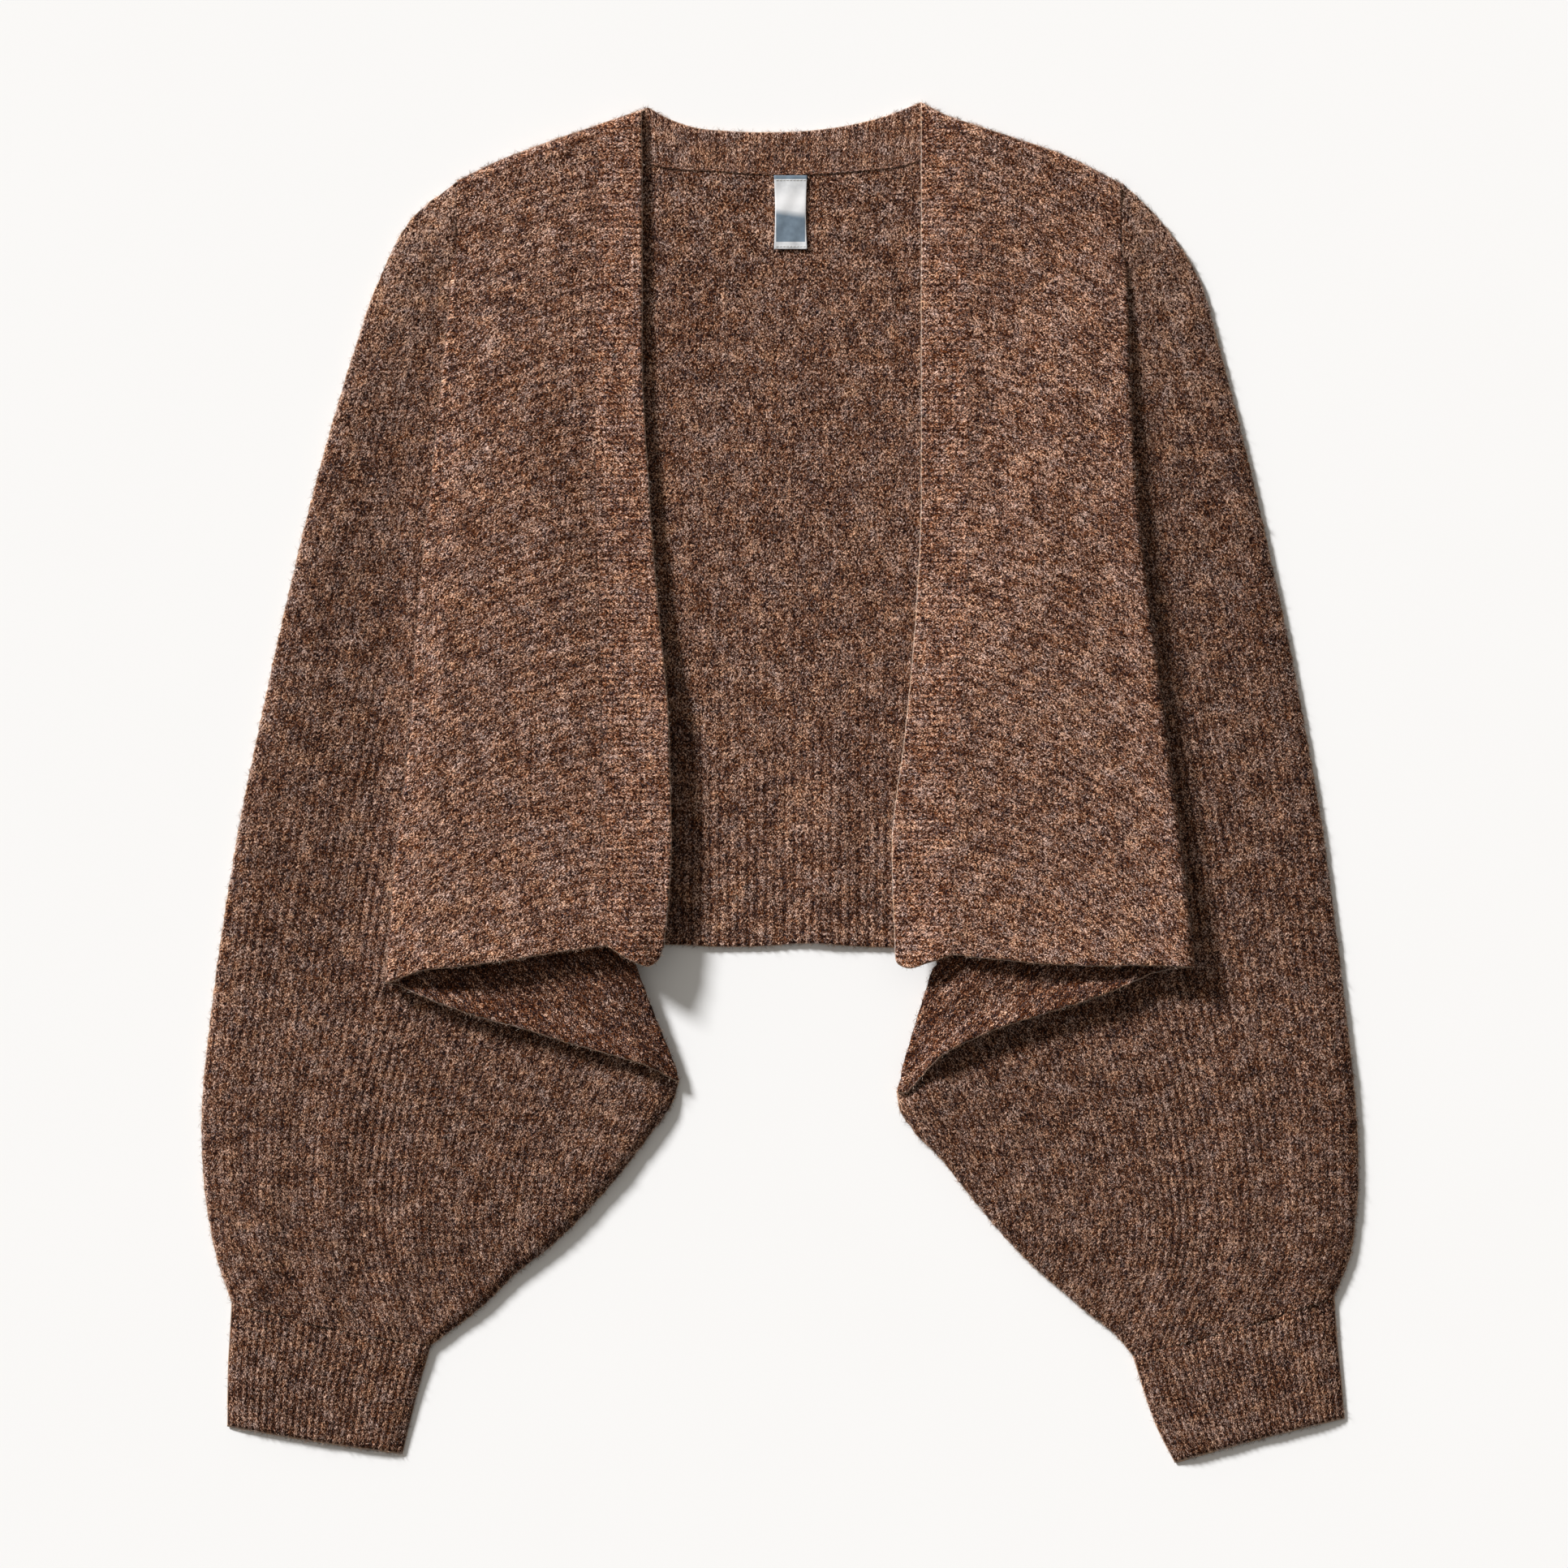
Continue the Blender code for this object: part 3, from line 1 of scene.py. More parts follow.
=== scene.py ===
"""Ribbed melange shrug laid flat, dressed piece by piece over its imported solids.

Each half is worked out in its own frame, where "out" is the distance from the centre line and "y"
points to the neck. Lengths are in millimetres until a mesh is written.
"""

import logging
import math
from dataclasses import dataclass, field
from enum import Enum
from typing import Callable, ClassVar, NamedTuple, Sequence

import bpy
import numpy as np
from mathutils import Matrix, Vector
from mathutils.geometry import delaunay_2d_cdt


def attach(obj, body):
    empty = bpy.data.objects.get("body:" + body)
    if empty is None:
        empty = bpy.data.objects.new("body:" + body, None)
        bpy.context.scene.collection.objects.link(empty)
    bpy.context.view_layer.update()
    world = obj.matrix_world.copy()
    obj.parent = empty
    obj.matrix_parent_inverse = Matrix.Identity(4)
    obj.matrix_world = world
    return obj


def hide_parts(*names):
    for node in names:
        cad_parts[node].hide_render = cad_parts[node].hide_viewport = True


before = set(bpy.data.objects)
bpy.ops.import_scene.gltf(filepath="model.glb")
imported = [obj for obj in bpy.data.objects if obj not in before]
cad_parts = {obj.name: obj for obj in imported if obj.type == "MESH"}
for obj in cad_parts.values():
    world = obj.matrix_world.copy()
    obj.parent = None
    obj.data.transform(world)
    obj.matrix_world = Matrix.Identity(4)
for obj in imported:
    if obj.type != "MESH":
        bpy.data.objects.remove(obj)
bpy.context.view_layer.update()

LOG = logging.getLogger("shrug")
METRES = 0.001
BODY = "root"

# Short names for types
Array = np.ndarray
Field = Callable[[Array, Array], Array]
Colour = tuple[float, float, float]
Direction = tuple[float, float, float]
Material = bpy.types.Material
Piece = bpy.types.Object
Socket = bpy.types.NodeSocket

# Cloth
WALL = 2.0
RIB_HEIGHT = 0.62
FRONT_RIB_SHARE = 0.62
FLAT_HEIGHT = 5.2
EDGE_ROUND = 8.0
# clarity mark of free edges, where a painted pale rim light stands in for light through the edge
# fuzz
PAINTED_RIM_MARK = 8.0
# strength of the painted shade between ribs on inner faces, which are also painted darker overall
INNER_GROOVE_SHADE = 1.5
HEM_LIFT = 1.4
HEM_LIFT_REACH = 16.0
ARM_ROUND = 20.0
DROOP = 3.6
DROOP_WIDTH = 20.0
CURL = 4.4
CURL_REACH = 16.0
RAGGED = 0.35
EDGE_REST = 0.35
HEM_ROUND = 1.1
SHOULDER_LEVEL = 2.2
SHOULDER_ROUND = 6.0
FRONT_SLOPE_LEAST = 12.0
FRONT_SLOPE_MOST = 48.0
FOLD_SLOPE_FOOT = 16.0
FOLD_SLOPE_LENGTH = 18.0
HEM_SLOPE_FOOT = 12.0
HEM_SLOPE_LENGTH = 15.0
PLUMP_HEIGHT = 1.8
PLUMP_TOP_FADE = 60.0
PLUMP_FOOT = 290.0
PLUMP_FOOT_FADE = 70.0
CREASE_FADE_IN = 25.0
CREASE_FADE_OUT = 60.0

# Turns of the front's cloth: under its outer fold, and down over the hidden one
HIDDEN_TURN = 1.3
HIDDEN_OUTER = HIDDEN_TURN + WALL / 2
TURN_SHARES = (0, 0.17, 0.33, 0.5, 0.67, 0.83, 1)

# Ribs, crest to crest, and their course
SLEEVE_PITCH = 4.8
SLEEVE_PITCH_CUFF = 3.9
SLEEVE_CLOSING_TOP = -90.0
SLEEVE_CLOSING_LENGTH = 170.0
FRONT_PITCH = 6.0
BAND_PITCH = 3.4
BACK_PITCH = 4.8
CUFF_PITCH = 3.9
FRONT_RIB_BEND = 110.0
FRONT_RIB_STEEPENING = 0.0058

# Heights of the back panel and of the step of the sleeves' undersides over it
HEM_BAND_TOP = -59.0
BACK_INSET = 3.0
BACK_STEP = 2.4
BACK_CLEAR = 0.9
FOLD_CLEAR = 3.5

# Fine form: rings inside rounded edges, grooves along seams and underneath, and slow waves
RING_DEPTHS = (0.08, 0.3, 0.75, 1.4)
FILL_CLEAR = 0.35
SEAM_REACH = 1.1
SEAM_REST = 0.84
UNDER_GROOVE = 0.35
WAVE_FRONT = 0.45
WAVE_SLEEVE = 0.5
WAVE_BACK = 0.15
NEARLY_UP = (0.03, 0.02, 1.0)

# --- Shapes ---


class Section(NamedTuple):
    """Places and heights across one half, at one distance y up the body."""

    y: float
    edge: float
    seam: float
    fold: float
    hidden_fold: float
    stack_top: float
    edge_top: float
    tuck_top: float


class At(NamedTuple):
    """A point of an edge."""

    out: float
    y: float


def points(*numbers: float) -> tuple[At, ...]:
    """Points from their distances out and up by turns."""
    return tuple(At(*pair) for pair in zip(numbers[::2], numbers[1::2]))


class Crease(NamedTuple):
    """A soft ridge, or a trough where its height is negative."""

    out0: float
    y0: float
    out1: float
    y1: float
    width: float
    height: float


class Handed(Enum):
    """Which half of the garment a piece belongs to, as the sign of its X."""

    LEFT = -1
    RIGHT = 1

    @property
    def word(self) -> str:
        """The half's name as it begins a piece's name."""
        return self.name.lower()


@dataclass(frozen=True)
class SideShape:
    """Measured edges, folds and heights of one half."""

    side: Handed
    sections: tuple[Section, ...]
    arm: tuple[At, ...]
    shoulder: tuple[At, ...]
    hem: tuple[At, ...]
    band_hem: tuple[At, ...]
    middle_hem: tuple[At, ...]
    underarm: tuple[At, ...]
    cuff_seam: tuple[At, ...]
    cuff_outer: tuple[At, ...]
    cuff_end: tuple[At, ...]
    cuff_inner: tuple[At, ...]
    rib_tilt: float
    turn: tuple[tuple[float, float], ...]
    roll: float
    roll_width: float
    creases: tuple[Crease, ...]


LEFT = SideShape(
    side=Handed.LEFT,
    sections=(
        Section(346, 71.5, 95, 176, 175, 5.2, 6, 5.2),
        Section(311, 71, 95, 172.5, 171, 5.5, 6.6, 5.5),
        Section(274.5, 71, 95, 169.8, 167.2, 6.6, 6.9, 6.4),
        Section(262, 71, 95, 170, 164.5, 7.6, 7, 4.6),
        Section(224, 71, 95.5, 173, 152.5, 10.6, 7.5, 5.5),
        Section(153, 67.6, 95, 180.2, 135.7, 13.3, 9, 7.8),
        Section(90, 62.6, 93.5, 186.5, 121.4, 14, 10.5, 8.7),
        Section(27, 57.1, 91.5, 190.7, 107.9, 14.5, 14.8, 9.2),
        Section(-36, 55.9, 90, 198.2, 92.8, 15.4, 16, 9.5),
        Section(-95, 60.5, 89, 202.9, 74.4, 19.2, 16.4, 9.6),
        Section(-153, 64, 89, 206, 51.7, 16.8, 14.5, 7.2),
    ),
    arm=points(
        168.5, 310.8, 191.5, 290.6, 207, 261.2, 220, 224.3, 244, 140.3, 263.6, 56.3, 280.8, -27.7,
        293.4, -111.7, 299.3, -174.7, 297, -216.7, 290.4, -250, 283.8, -268.8,
    ),
    shoulder=points(68, 349.2, 83, 344.2, 98.3, 339, 119.7, 331.6, 145, 322, 168.5, 310.8),
    hem=points(89, -84.6, 109.2, -86.9, 142.8, -92.4, 166.3, -95.3, 187, -98, 200.6, -103.2),
    band_hem=points(60.5, -86, 62.5, -91.5, 67.2, -94.9, 76, -92.4, 89, -84.6),
    middle_hem=points(
        200.6, -103.2, 184.8, -110.5, 159.6, -120.1, 130.6, -127.9, 106.7, -135.5, 82.7, -142.2,
        66.8, -147.6, 54, -154.5,
    ),
    underarm=points(
        51.9, -153.5, 54.6, -163.5, 67.6, -183.1, 84, -204.2, 102.5, -224.7, 118, -239.8,
        134.8, -252.8, 154.1, -271.3, 180.6, -291.3,
    ),
    cuff_seam=points(180.6, -291.5, 232, -282.5, 283.8, -268.8),
    cuff_outer=points(283.8, -269.2, 285.8, -307.4, 286, -333.2),
    cuff_end=points(286, -333.2, 249, -339.8, 211.7, -345.8, 195.2, -347.4),
    cuff_inner=points(195.2, -347.4, 188, -318, 180.9, -291.9),
    rib_tilt=0.19,
    turn=(
        (274.5, 1.05), (250, 1.1), (224, 1.2), (153, 1.35), (0, 1.35),
        (-60, 1.9), (-95, 3.45), (-153, 3.45),
    ),
    roll=2.2,
    roll_width=13,
    creases=(
        Crease(270, -262, 258, -150, 9, 1.3),
        Crease(236, -270, 222, -120, 11, 1.5),
        Crease(206, -276, 170, -180, 9, 1.2),
        Crease(228, 190, 262, 10, 12, 0.8),
    ),
)

RIGHT = SideShape(
    side=Handed.RIGHT,
    sections=(
        Section(352, 72.9, 98, 184, 183, 5.2, 5.2, 5.2),
        Section(311, 72.9, 98, 181, 180, 5.5, 5.2, 5.5),
        Section(274.5, 72.9, 98, 179.4, 176.8, 6.6, 5.4, 6.4),
        Section(262, 72.9, 98, 179.6, 173.2, 7.6, 5.6, 4.6),
        Section(224, 72.9, 98, 180.5, 161, 11, 6.6, 5.5),
        Section(153, 72.9, 98, 184.2, 145, 14.4, 8.5, 7.8),
        Section(90, 70.3, 97, 191.1, 131, 15.6, 10.5, 8.7),
        Section(27, 64.6, 93.5, 199.4, 116, 16.1, 14, 9.2),
        Section(-36, 57.7, 90, 207.7, 99, 16.8, 15.4, 9.5),
        Section(-95, 59.6, 89, 214.2, 79.4, 20.6, 16.2, 9.6),
        Section(-158, 62, 89, 219, 60.1, 17.2, 14.5, 7.2),
    ),
    arm=points(
        175.6, 310.4, 197, 290.6, 216.5, 261.2, 227.5, 224.3, 248.5, 140.3, 266.5, 56.3,
        281.3, -27.7, 292, -111.7, 298.5, -174.7, 298.8, -216.7, 294.5, -247, 286.9, -265.9,
    ),
    shoulder=points(72.9, 352, 87.4, 344.8, 103, 339.7, 118.9, 334.4, 148.7, 324, 175.6, 310.4),
    hem=points(89, -89, 112.6, -91.6, 136.5, -93.7, 164, -94.9, 190, -94.6, 211.6, -95.4),
    band_hem=points(59, -86, 60.6, -93.5, 65.5, -95.9, 76, -93.4, 89, -89),
    middle_hem=points(
        211.6, -95.4, 196, -97.8, 171.4, -108.2, 139, -118.9, 117.6, -125.6, 99, -133.2,
        81.5, -143.2, 73.5, -152, 66, -160.5,
    ),
    underarm=points(
        60.3, -160, 61.6, -168.5, 69.3, -180.6, 82.7, -194.5, 96.2, -211.3, 122.2, -241.7,
        155, -271.1, 175, -287.5, 182.3, -296.3,
    ),
    cuff_seam=points(182.3, -296.5, 235, -283, 286.9, -265.9),
    cuff_outer=points(286.9, -266.3, 288.2, -285, 290.6, -310, 292.2, -329.2),
    cuff_end=points(292.2, -329.2, 265.9, -335.4, 232.3, -344.4, 204.2, -352),
    cuff_inner=points(204.2, -352, 195, -334, 182.7, -296.9),
    rib_tilt=0.22,
    turn=(
        (274.5, 1.05), (250, 1.1), (224, 1.25), (153, 1.9), (0, 2.15),
        (-60, 2.7), (-95, 4.2), (-158, 3.7),
    ),
    roll=-1.6,
    roll_width=18,
    creases=(
        Crease(272, -258, 262, -160, 9, 1.2),
        Crease(240, -266, 232, -110, 12, 1.4),
        Crease(208, -276, 176, -170, 9, 1.3),
        Crease(238, 180, 266, 20, 12, 0.8),
    ),
)

NECKLINE = points(
    -68, 349.2, -55, 342.4, -44.1, 338.9, -27.7, 337.2, -3.4, 336.5, 18.1, 337.6, 35.3, 340,
    52.5, 344.2, 72.9, 352,
)
NECK_SEAM = points(
    -96.5, 339.6, -84, 328, -62.2, 319.6, -33.2, 317.1, -3.4, 315.2, 20.2, 315.5, 41.6, 317.2,
    64.5, 320.2, 86, 329, 100.5, 340.5,
)
BACK_HEM = points(
    -194, -98.6, -150, -90.5, -100, -85.2, -52, -84.2, -30, -85.2, -8, -84.8, 14, -83.4, 40, -85,
    58, -85.6, 100, -86.6, 150, -90, 204, -91,
)
BACK_CREASES = (
    Crease(24, -84, 30, 40, 11, 1),
    Crease(-44, -84, -48, -10, 10, 0.8),
    Crease(2, 80, -12, 190, 14, 0.6),
)

# --- Curves and plane geometry ---


def smooth(value: Array) -> Array:
    """Ease from 0 to 1 as value goes from 0 to 1."""
    clipped = np.clip(value, 0.0, 1.0)
    return clipped * clipped * (3 - 2 * clipped)


class Curve:
    """A line that runs monotonically between knots and straight on past them."""

    def __init__(self, knots: Sequence[tuple[float, float]]) -> None:
        """Work out the slopes at the knots.

        Args:
            knots: (place, value) pairs in any order.
        """
        rows = np.array(sorted(tuple(knot) for knot in knots), float)
        self.places, self.values = rows[:, 0], rows[:, 1]
        slopes = np.diff(self.values) / np.diff(self.places)
        product = slopes[:-1] * slopes[1:]
        total = np.where(product > 0, slopes[:-1] + slopes[1:], 1.0)
        inner = np.where(product > 0, 2 * product / total, 0.0)
        self.tangents = np.concatenate([slopes[:1], inner, slopes[-1:]])

    def __call__(self, place: Array) -> Array:
        """Value at each place.

        Args:
            place: places along the line.

        Returns:
            The value at each place.
        """
        place = np.asarray(place, float)
        index = np.searchsorted(self.places, place, side="right") - 1
        index = np.clip(index, 0, len(self.places) - 2)
        step = self.places[index + 1] - self.places[index]
        t = np.clip((place - self.places[index]) / step, 0.0, 1.0)
        rise = self.values[index + 1] - self.values[index]
        start = self.tangents[index] * step - rise
        end = rise - self.tangents[index + 1] * step
        within = self.values[index] + rise * t + t * (1 - t) * (start * (1 - t) + end * t)
        below = np.minimum(place - self.places[0], 0.0) * self.tangents[0]
        above = np.maximum(place - self.places[-1], 0.0) * self.tangents[-1]
        return within + below + above


def trace(points: Sequence[Sequence[float]], spacing: float) -> Array:
    """Sample a smooth line through points, at most spacing apart.

    Args:
        points: the knots.
        spacing: the longest step between samples.

    Returns:
        The samples, with both ends.
    """
    knots = np.array([tuple(point)[:2] for point in points], float)
    padded = np.vstack([2 * knots[0] - knots[1], knots, 2 * knots[-1] - knots[-2]])
    line = []
    for index in range(1, len(padded) - 2):
        p0, p1, p2, p3 = padded[index - 1:index + 3]
        span = np.linalg.norm(p2 - p1)
        start, end = pull(p0, p1, p2) * span, pull(p1, p2, p3) * span
        t = np.arange(max(1, math.ceil(span / spacing)))[:, None]
        t = t / len(t)
        line.append(
            p1 * (2 * t**3 - 3 * t**2 + 1) + start * (t**3 - 2 * t**2 + t)
            + p2 * (3 * t**2 - 2 * t**3) + end * (t**3 - t**2)
        )
    return np.vstack([*line, knots[-1:]])


def pull(before: Array, here: Array, after: Array) -> Array:
    """Direction of a smooth line at a knot, weighted by the spans beside it.

    Args:
        before: the knot before.
        here: the knot.
        after: the knot after.

    Returns:
        The direction.
    """
    back, ahead = here - before, after - here
    back_length, ahead_length = np.linalg.norm(back), np.linalg.norm(ahead)
    total = back_length + ahead_length
    slow, fast = back_length / total, ahead_length / total
    return back / back_length * fast + ahead / ahead_length * slow


def unit(vectors: Array) -> Array:
    """Vectors scaled to length one."""
    return vectors / np.maximum(np.linalg.norm(vectors, axis=-1, keepdims=True), 1e-9)


def leftward(ahead: Array) -> Array:
    """Unit vectors a quarter turn to the left of directions in the plan."""
    return unit(np.stack([-ahead[:, 1], ahead[:, 0]], 1))


def run_along(line: Array) -> Array:
    """Distance along a line at each of its points."""
    return np.concatenate([[0.0], np.cumsum(np.linalg.norm(np.diff(line, axis=0), axis=1))])


def columns(*parts: Array | float) -> Array:
    """Points whose coordinates are the parts, a number among them standing for all points."""
    return np.column_stack(np.broadcast_arrays(*parts))


def steps(low: float, high: float, spacing: float) -> Array:
    """Even steps from low to high, at most spacing apart."""
    return np.linspace(low, high, max(1, math.ceil(abs(high - low) / spacing)) + 1)


def line_of(across: Curve, rows: Array, shift: float = 0.0) -> Array:
    """Points along a curve that gives the distance out for each y."""
    return np.stack([across(rows) + shift, rows], 1)


def join(*chains: Array) -> Array:
    """Join chains that meet end to end into one counterclockwise outline.

    Args:
        *chains: the chains in order.

    Returns:
        The outline, without its doubled points.
    """
    points = np.vstack(chains)
    ahead = np.roll(points, -1, 0)
    points = points[np.linalg.norm(ahead - points, axis=1) > 0.05]
    ahead = np.roll(points, -1, 0)
    turned = (points[:, 0] * ahead[:, 1] - ahead[:, 0] * points[:, 1]).sum()
    return points if turned > 0 else points[::-1]


def ragged(line: Array, seed: float, height: float = RAGGED) -> Array:
    """A line made slightly uneven, its ends left in place.

    Args:
        line: the line.
        seed: sets its sway.
        height: the most that it strays.

    Returns:
        The uneven line.
    """
    run = run_along(line)
    sway = unevenness(run * 2.6, run * 1.1, seed) + 0.8 * unevenness(run * 7.3, run * 3.1, seed + 2)
    normal = leftward(np.gradient(line, axis=0))
    fade = smooth(run / 8) * smooth((run[-1] - run) / 8)
    return line + (height * sway * fade)[:, None] * normal


def within(outline: Array, points: Array) -> Array:
    """Tell which points lie inside a closed outline.

    Args:
        outline: the outline.
        points: the points.

    Returns:
        True for each point inside.
    """
    order = np.argsort(points[:, 1])
    x, y = points[order].T
    odd = np.zeros(len(points), bool)
    for (ax, ay), (bx, by) in zip(outline, np.roll(outline, -1, 0)):
        if ay == by:
            continue
        first, last = np.searchsorted(y, (min(ay, by), max(ay, by)))
        part = slice(first, last)
        odd[part] ^= x[part] < ax + (y[part] - ay) * (bx - ax) / (by - ay)
    result = np.empty_like(odd)
    result[order] = odd
    return result


def distance(line: Array, points: Array, most: float = 7.0) -> Array:
    """Shortest distance from each point to an open line.

    Args:
        line: the line.
        points: the points.
        most: distances past this one read as this one.

    Returns:
        The distances.
    """
    order = np.argsort(points[:, 1])
    placed = points[order]
    best = np.full(len(points), most * most)
    for a, b in zip(line[:-1], line[1:]):
        low, high = min(a[1], b[1]) - most, max(a[1], b[1]) + most
        part = slice(*np.searchsorted(placed[:, 1], (low, high)))
        span = b - a
        offset = placed[part] - a
        t = np.clip(offset @ span / max(float(span @ span), 1e-12), 0.0, 1.0)
        gap = offset - t[:, None] * span
        best[part] = np.minimum(best[part], (gap * gap).sum(1))
    result = np.empty_like(best)
    result[order] = np.sqrt(best)
    return result


def rounded(gap: Array, reach: float, rest: float = EDGE_REST) -> Array:
    """Share of the full height at a distance from a rounded edge."""
    bend = 1 - np.clip(gap / reach, 0.0, 1.0)
    return rest + (1 - rest) * np.sqrt(np.maximum(1 - bend * bend, 0.0))


def rib(phase: Array) -> Array:
    """Height of a rib from 0 in its valley to 1 on its round back, once for each whole phase."""
    return np.abs(np.cos(math.pi * phase)) ** 0.75


def crease_lift(creases: Sequence[Crease], out: Array, y: Array) -> Array:
    """Raised height of the soft folds at each point.

    Args:
        creases: the folds.
        out: distances out.
        y: distances up.

    Returns:
        The heights.
    """
    lift = np.zeros_like(out)
    for fold in creases:
        dx, dy = fold.out1 - fold.out0, fold.y1 - fold.y0
        length = math.hypot(dx, dy)
        along = ((out - fold.out0) * dx + (y - fold.y0) * dy) / length
        across = ((out - fold.out0) * dy - (y - fold.y0) * dx) / length
        fade = smooth(along / CREASE_FADE_IN + 1) * smooth((length - along) / CREASE_FADE_OUT)
        lift += fold.height * fade * np.exp(-((across / fold.width) ** 2))
    return lift


def unevenness(out: Array, y: Array, seed: float) -> Array:
    """Slow, irregular rise and fall of hand-laid cloth, from -1 to 1.

    Args:
        out: distances out.
        y: distances up.
        seed: sets the pattern.

    Returns:
        The sway at each point.
    """
    waves = (
        (0.0213, 0.0131, 1.3), (-0.0162, 0.0279, 2.9), (0.0411, -0.0187, 4.2),
        (0.0302, 0.0447, 0.6), (-0.0536, 0.0098, 5.1),
    )
    total = sum(
        np.sin(math.tau * (out * fx + y * fy) + start + seed * (index + 1.7))
        for index, (fx, fy, start) in enumerate(waves)
    )
    return total / len(waves)


# --- Meshing ---


class Plan:
    """An outline filled with triangles, its outline's points first."""

    def __init__(self, outline: Array, fill: Array) -> None:
        """Triangulate the outline with its inner points.

        Args:
            outline: the closed outline, counterclockwise.
            fill: points inside it.
        """
        points = [Vector(point) for point in np.vstack([outline, fill])]
        found = delaunay_2d_cdt(points, [], [list(range(len(outline)))], 0, 1e-3)
        self.points = np.array([tuple(point) for point in found[0]])
        self.faces = np.array([face for face, origin in zip(found[2], found[5]) if origin])
        place = {}
        for index, sources in enumerate(found[3]):
            for source in sources:
                place[source] = index
        self.loop = np.array([place[index] for index in range(len(outline))])


class Edge(NamedTuple):
    """A line along which a wall of cloth rounds off.

    reach and under_reach are how far in the upper and the lower face start to round, and rest is
    the share of their height that is left at the line itself.
    """

    line: Array
    reach: float
    under_reach: float
    rest: float


def edge_rings(outline: Array, line: Array, reach: float) -> Array:
    """Points in rings just inside an edge, for its rounding.

    Args:
        outline: the closed outline.
        line: the edge.
        reach: how far in the rounding goes.

    Returns:
        The points of all rings.
    """
    normal = leftward(np.gradient(line, axis=0))
    closed = np.vstack([outline, outline[:1]])
    rings = []
    for depth in (depth for depth in RING_DEPTHS if depth < reach):
        for turn in (-depth, depth):
            ring = line + turn * normal
            ring = ring[within(outline, ring)]
            rings.append(ring[distance(closed, ring) > 0.9 * depth])
    return np.vstack(rings)


def rib_fill(line: Field, low: float, high: float, places: Array) -> Array:
    """Points along rib lines, staggered from one line to the next.

    Args:
        line: gives points for line numbers and places along them.
        low: the first line's number, taken down to a whole one.
        high: the last line's number, taken up.
        places: where along each line its points are.

    Returns:
        The points of all lines.
    """
    lines = np.arange(math.floor(low), math.ceil(high) + 1, dtype=float)
    index, place = np.meshgrid(lines, places, indexing="ij")
    shift = (index % 2) * 0.5 * (places[1] - places[0])
    return line(index.ravel(), (place + shift).ravel())


def grid(out: tuple[float, float], y: tuple[float, float], spacing: float) -> Array:
    """Points of an even, staggered grid over a box.

    Args:
        out: from and to across.
        y: from and to up.
        spacing: the step.

    Returns:
        The points.
    """
    rows = np.arange(*y, spacing * 0.87)
    outs = np.arange(*out, spacing)
    index, place = np.meshgrid(np.arange(len(rows)), outs, indexing="ij")
    return np.stack([(place + (index % 2) * spacing / 2).ravel(), rows[index.ravel()]], 1)


def inset(outline: Array, depth: float) -> Array:
    """An outline drawn a set depth inside a counterclockwise one.

    Args:
        outline: the outer one.
        depth: how far inside.

    Returns:
        The inner outline.
    """
    moved = outline + depth * leftward(np.roll(outline, -2, 0) - np.roll(outline, 2, 0))
    closed = np.vstack([outline, outline[:1]])
    kept = moved[within(outline, moved)]
    return kept[distance(closed, kept) > 0.93 * depth]


def plan_area(outline: Array) -> float:
    """Area inside a closed outline, in square millimetres."""
    x, y = outline.T
    return abs(float((x * np.roll(y, -1) - np.roll(x, -1) * y).sum())) / 2


def put_in_scene(name: str, data: bpy.types.ID) -> Piece:
    """Make an object of a mesh, a light or a lens.

    Args:
        name: its name.
        data: what it is made of.

    Returns:
        The object.
    """
    made = bpy.data.objects.new(name, data)
    bpy.context.scene.collection.objects.link(made)
    return made


def quads(*corners: Array) -> Array:
    """Two triangles for each set of four corners, given in order round it."""
    a, b, c, d = (corner.ravel() for corner in corners)
    return np.vstack([np.stack([a, b, c], 1), np.stack([a, c, d], 1)])


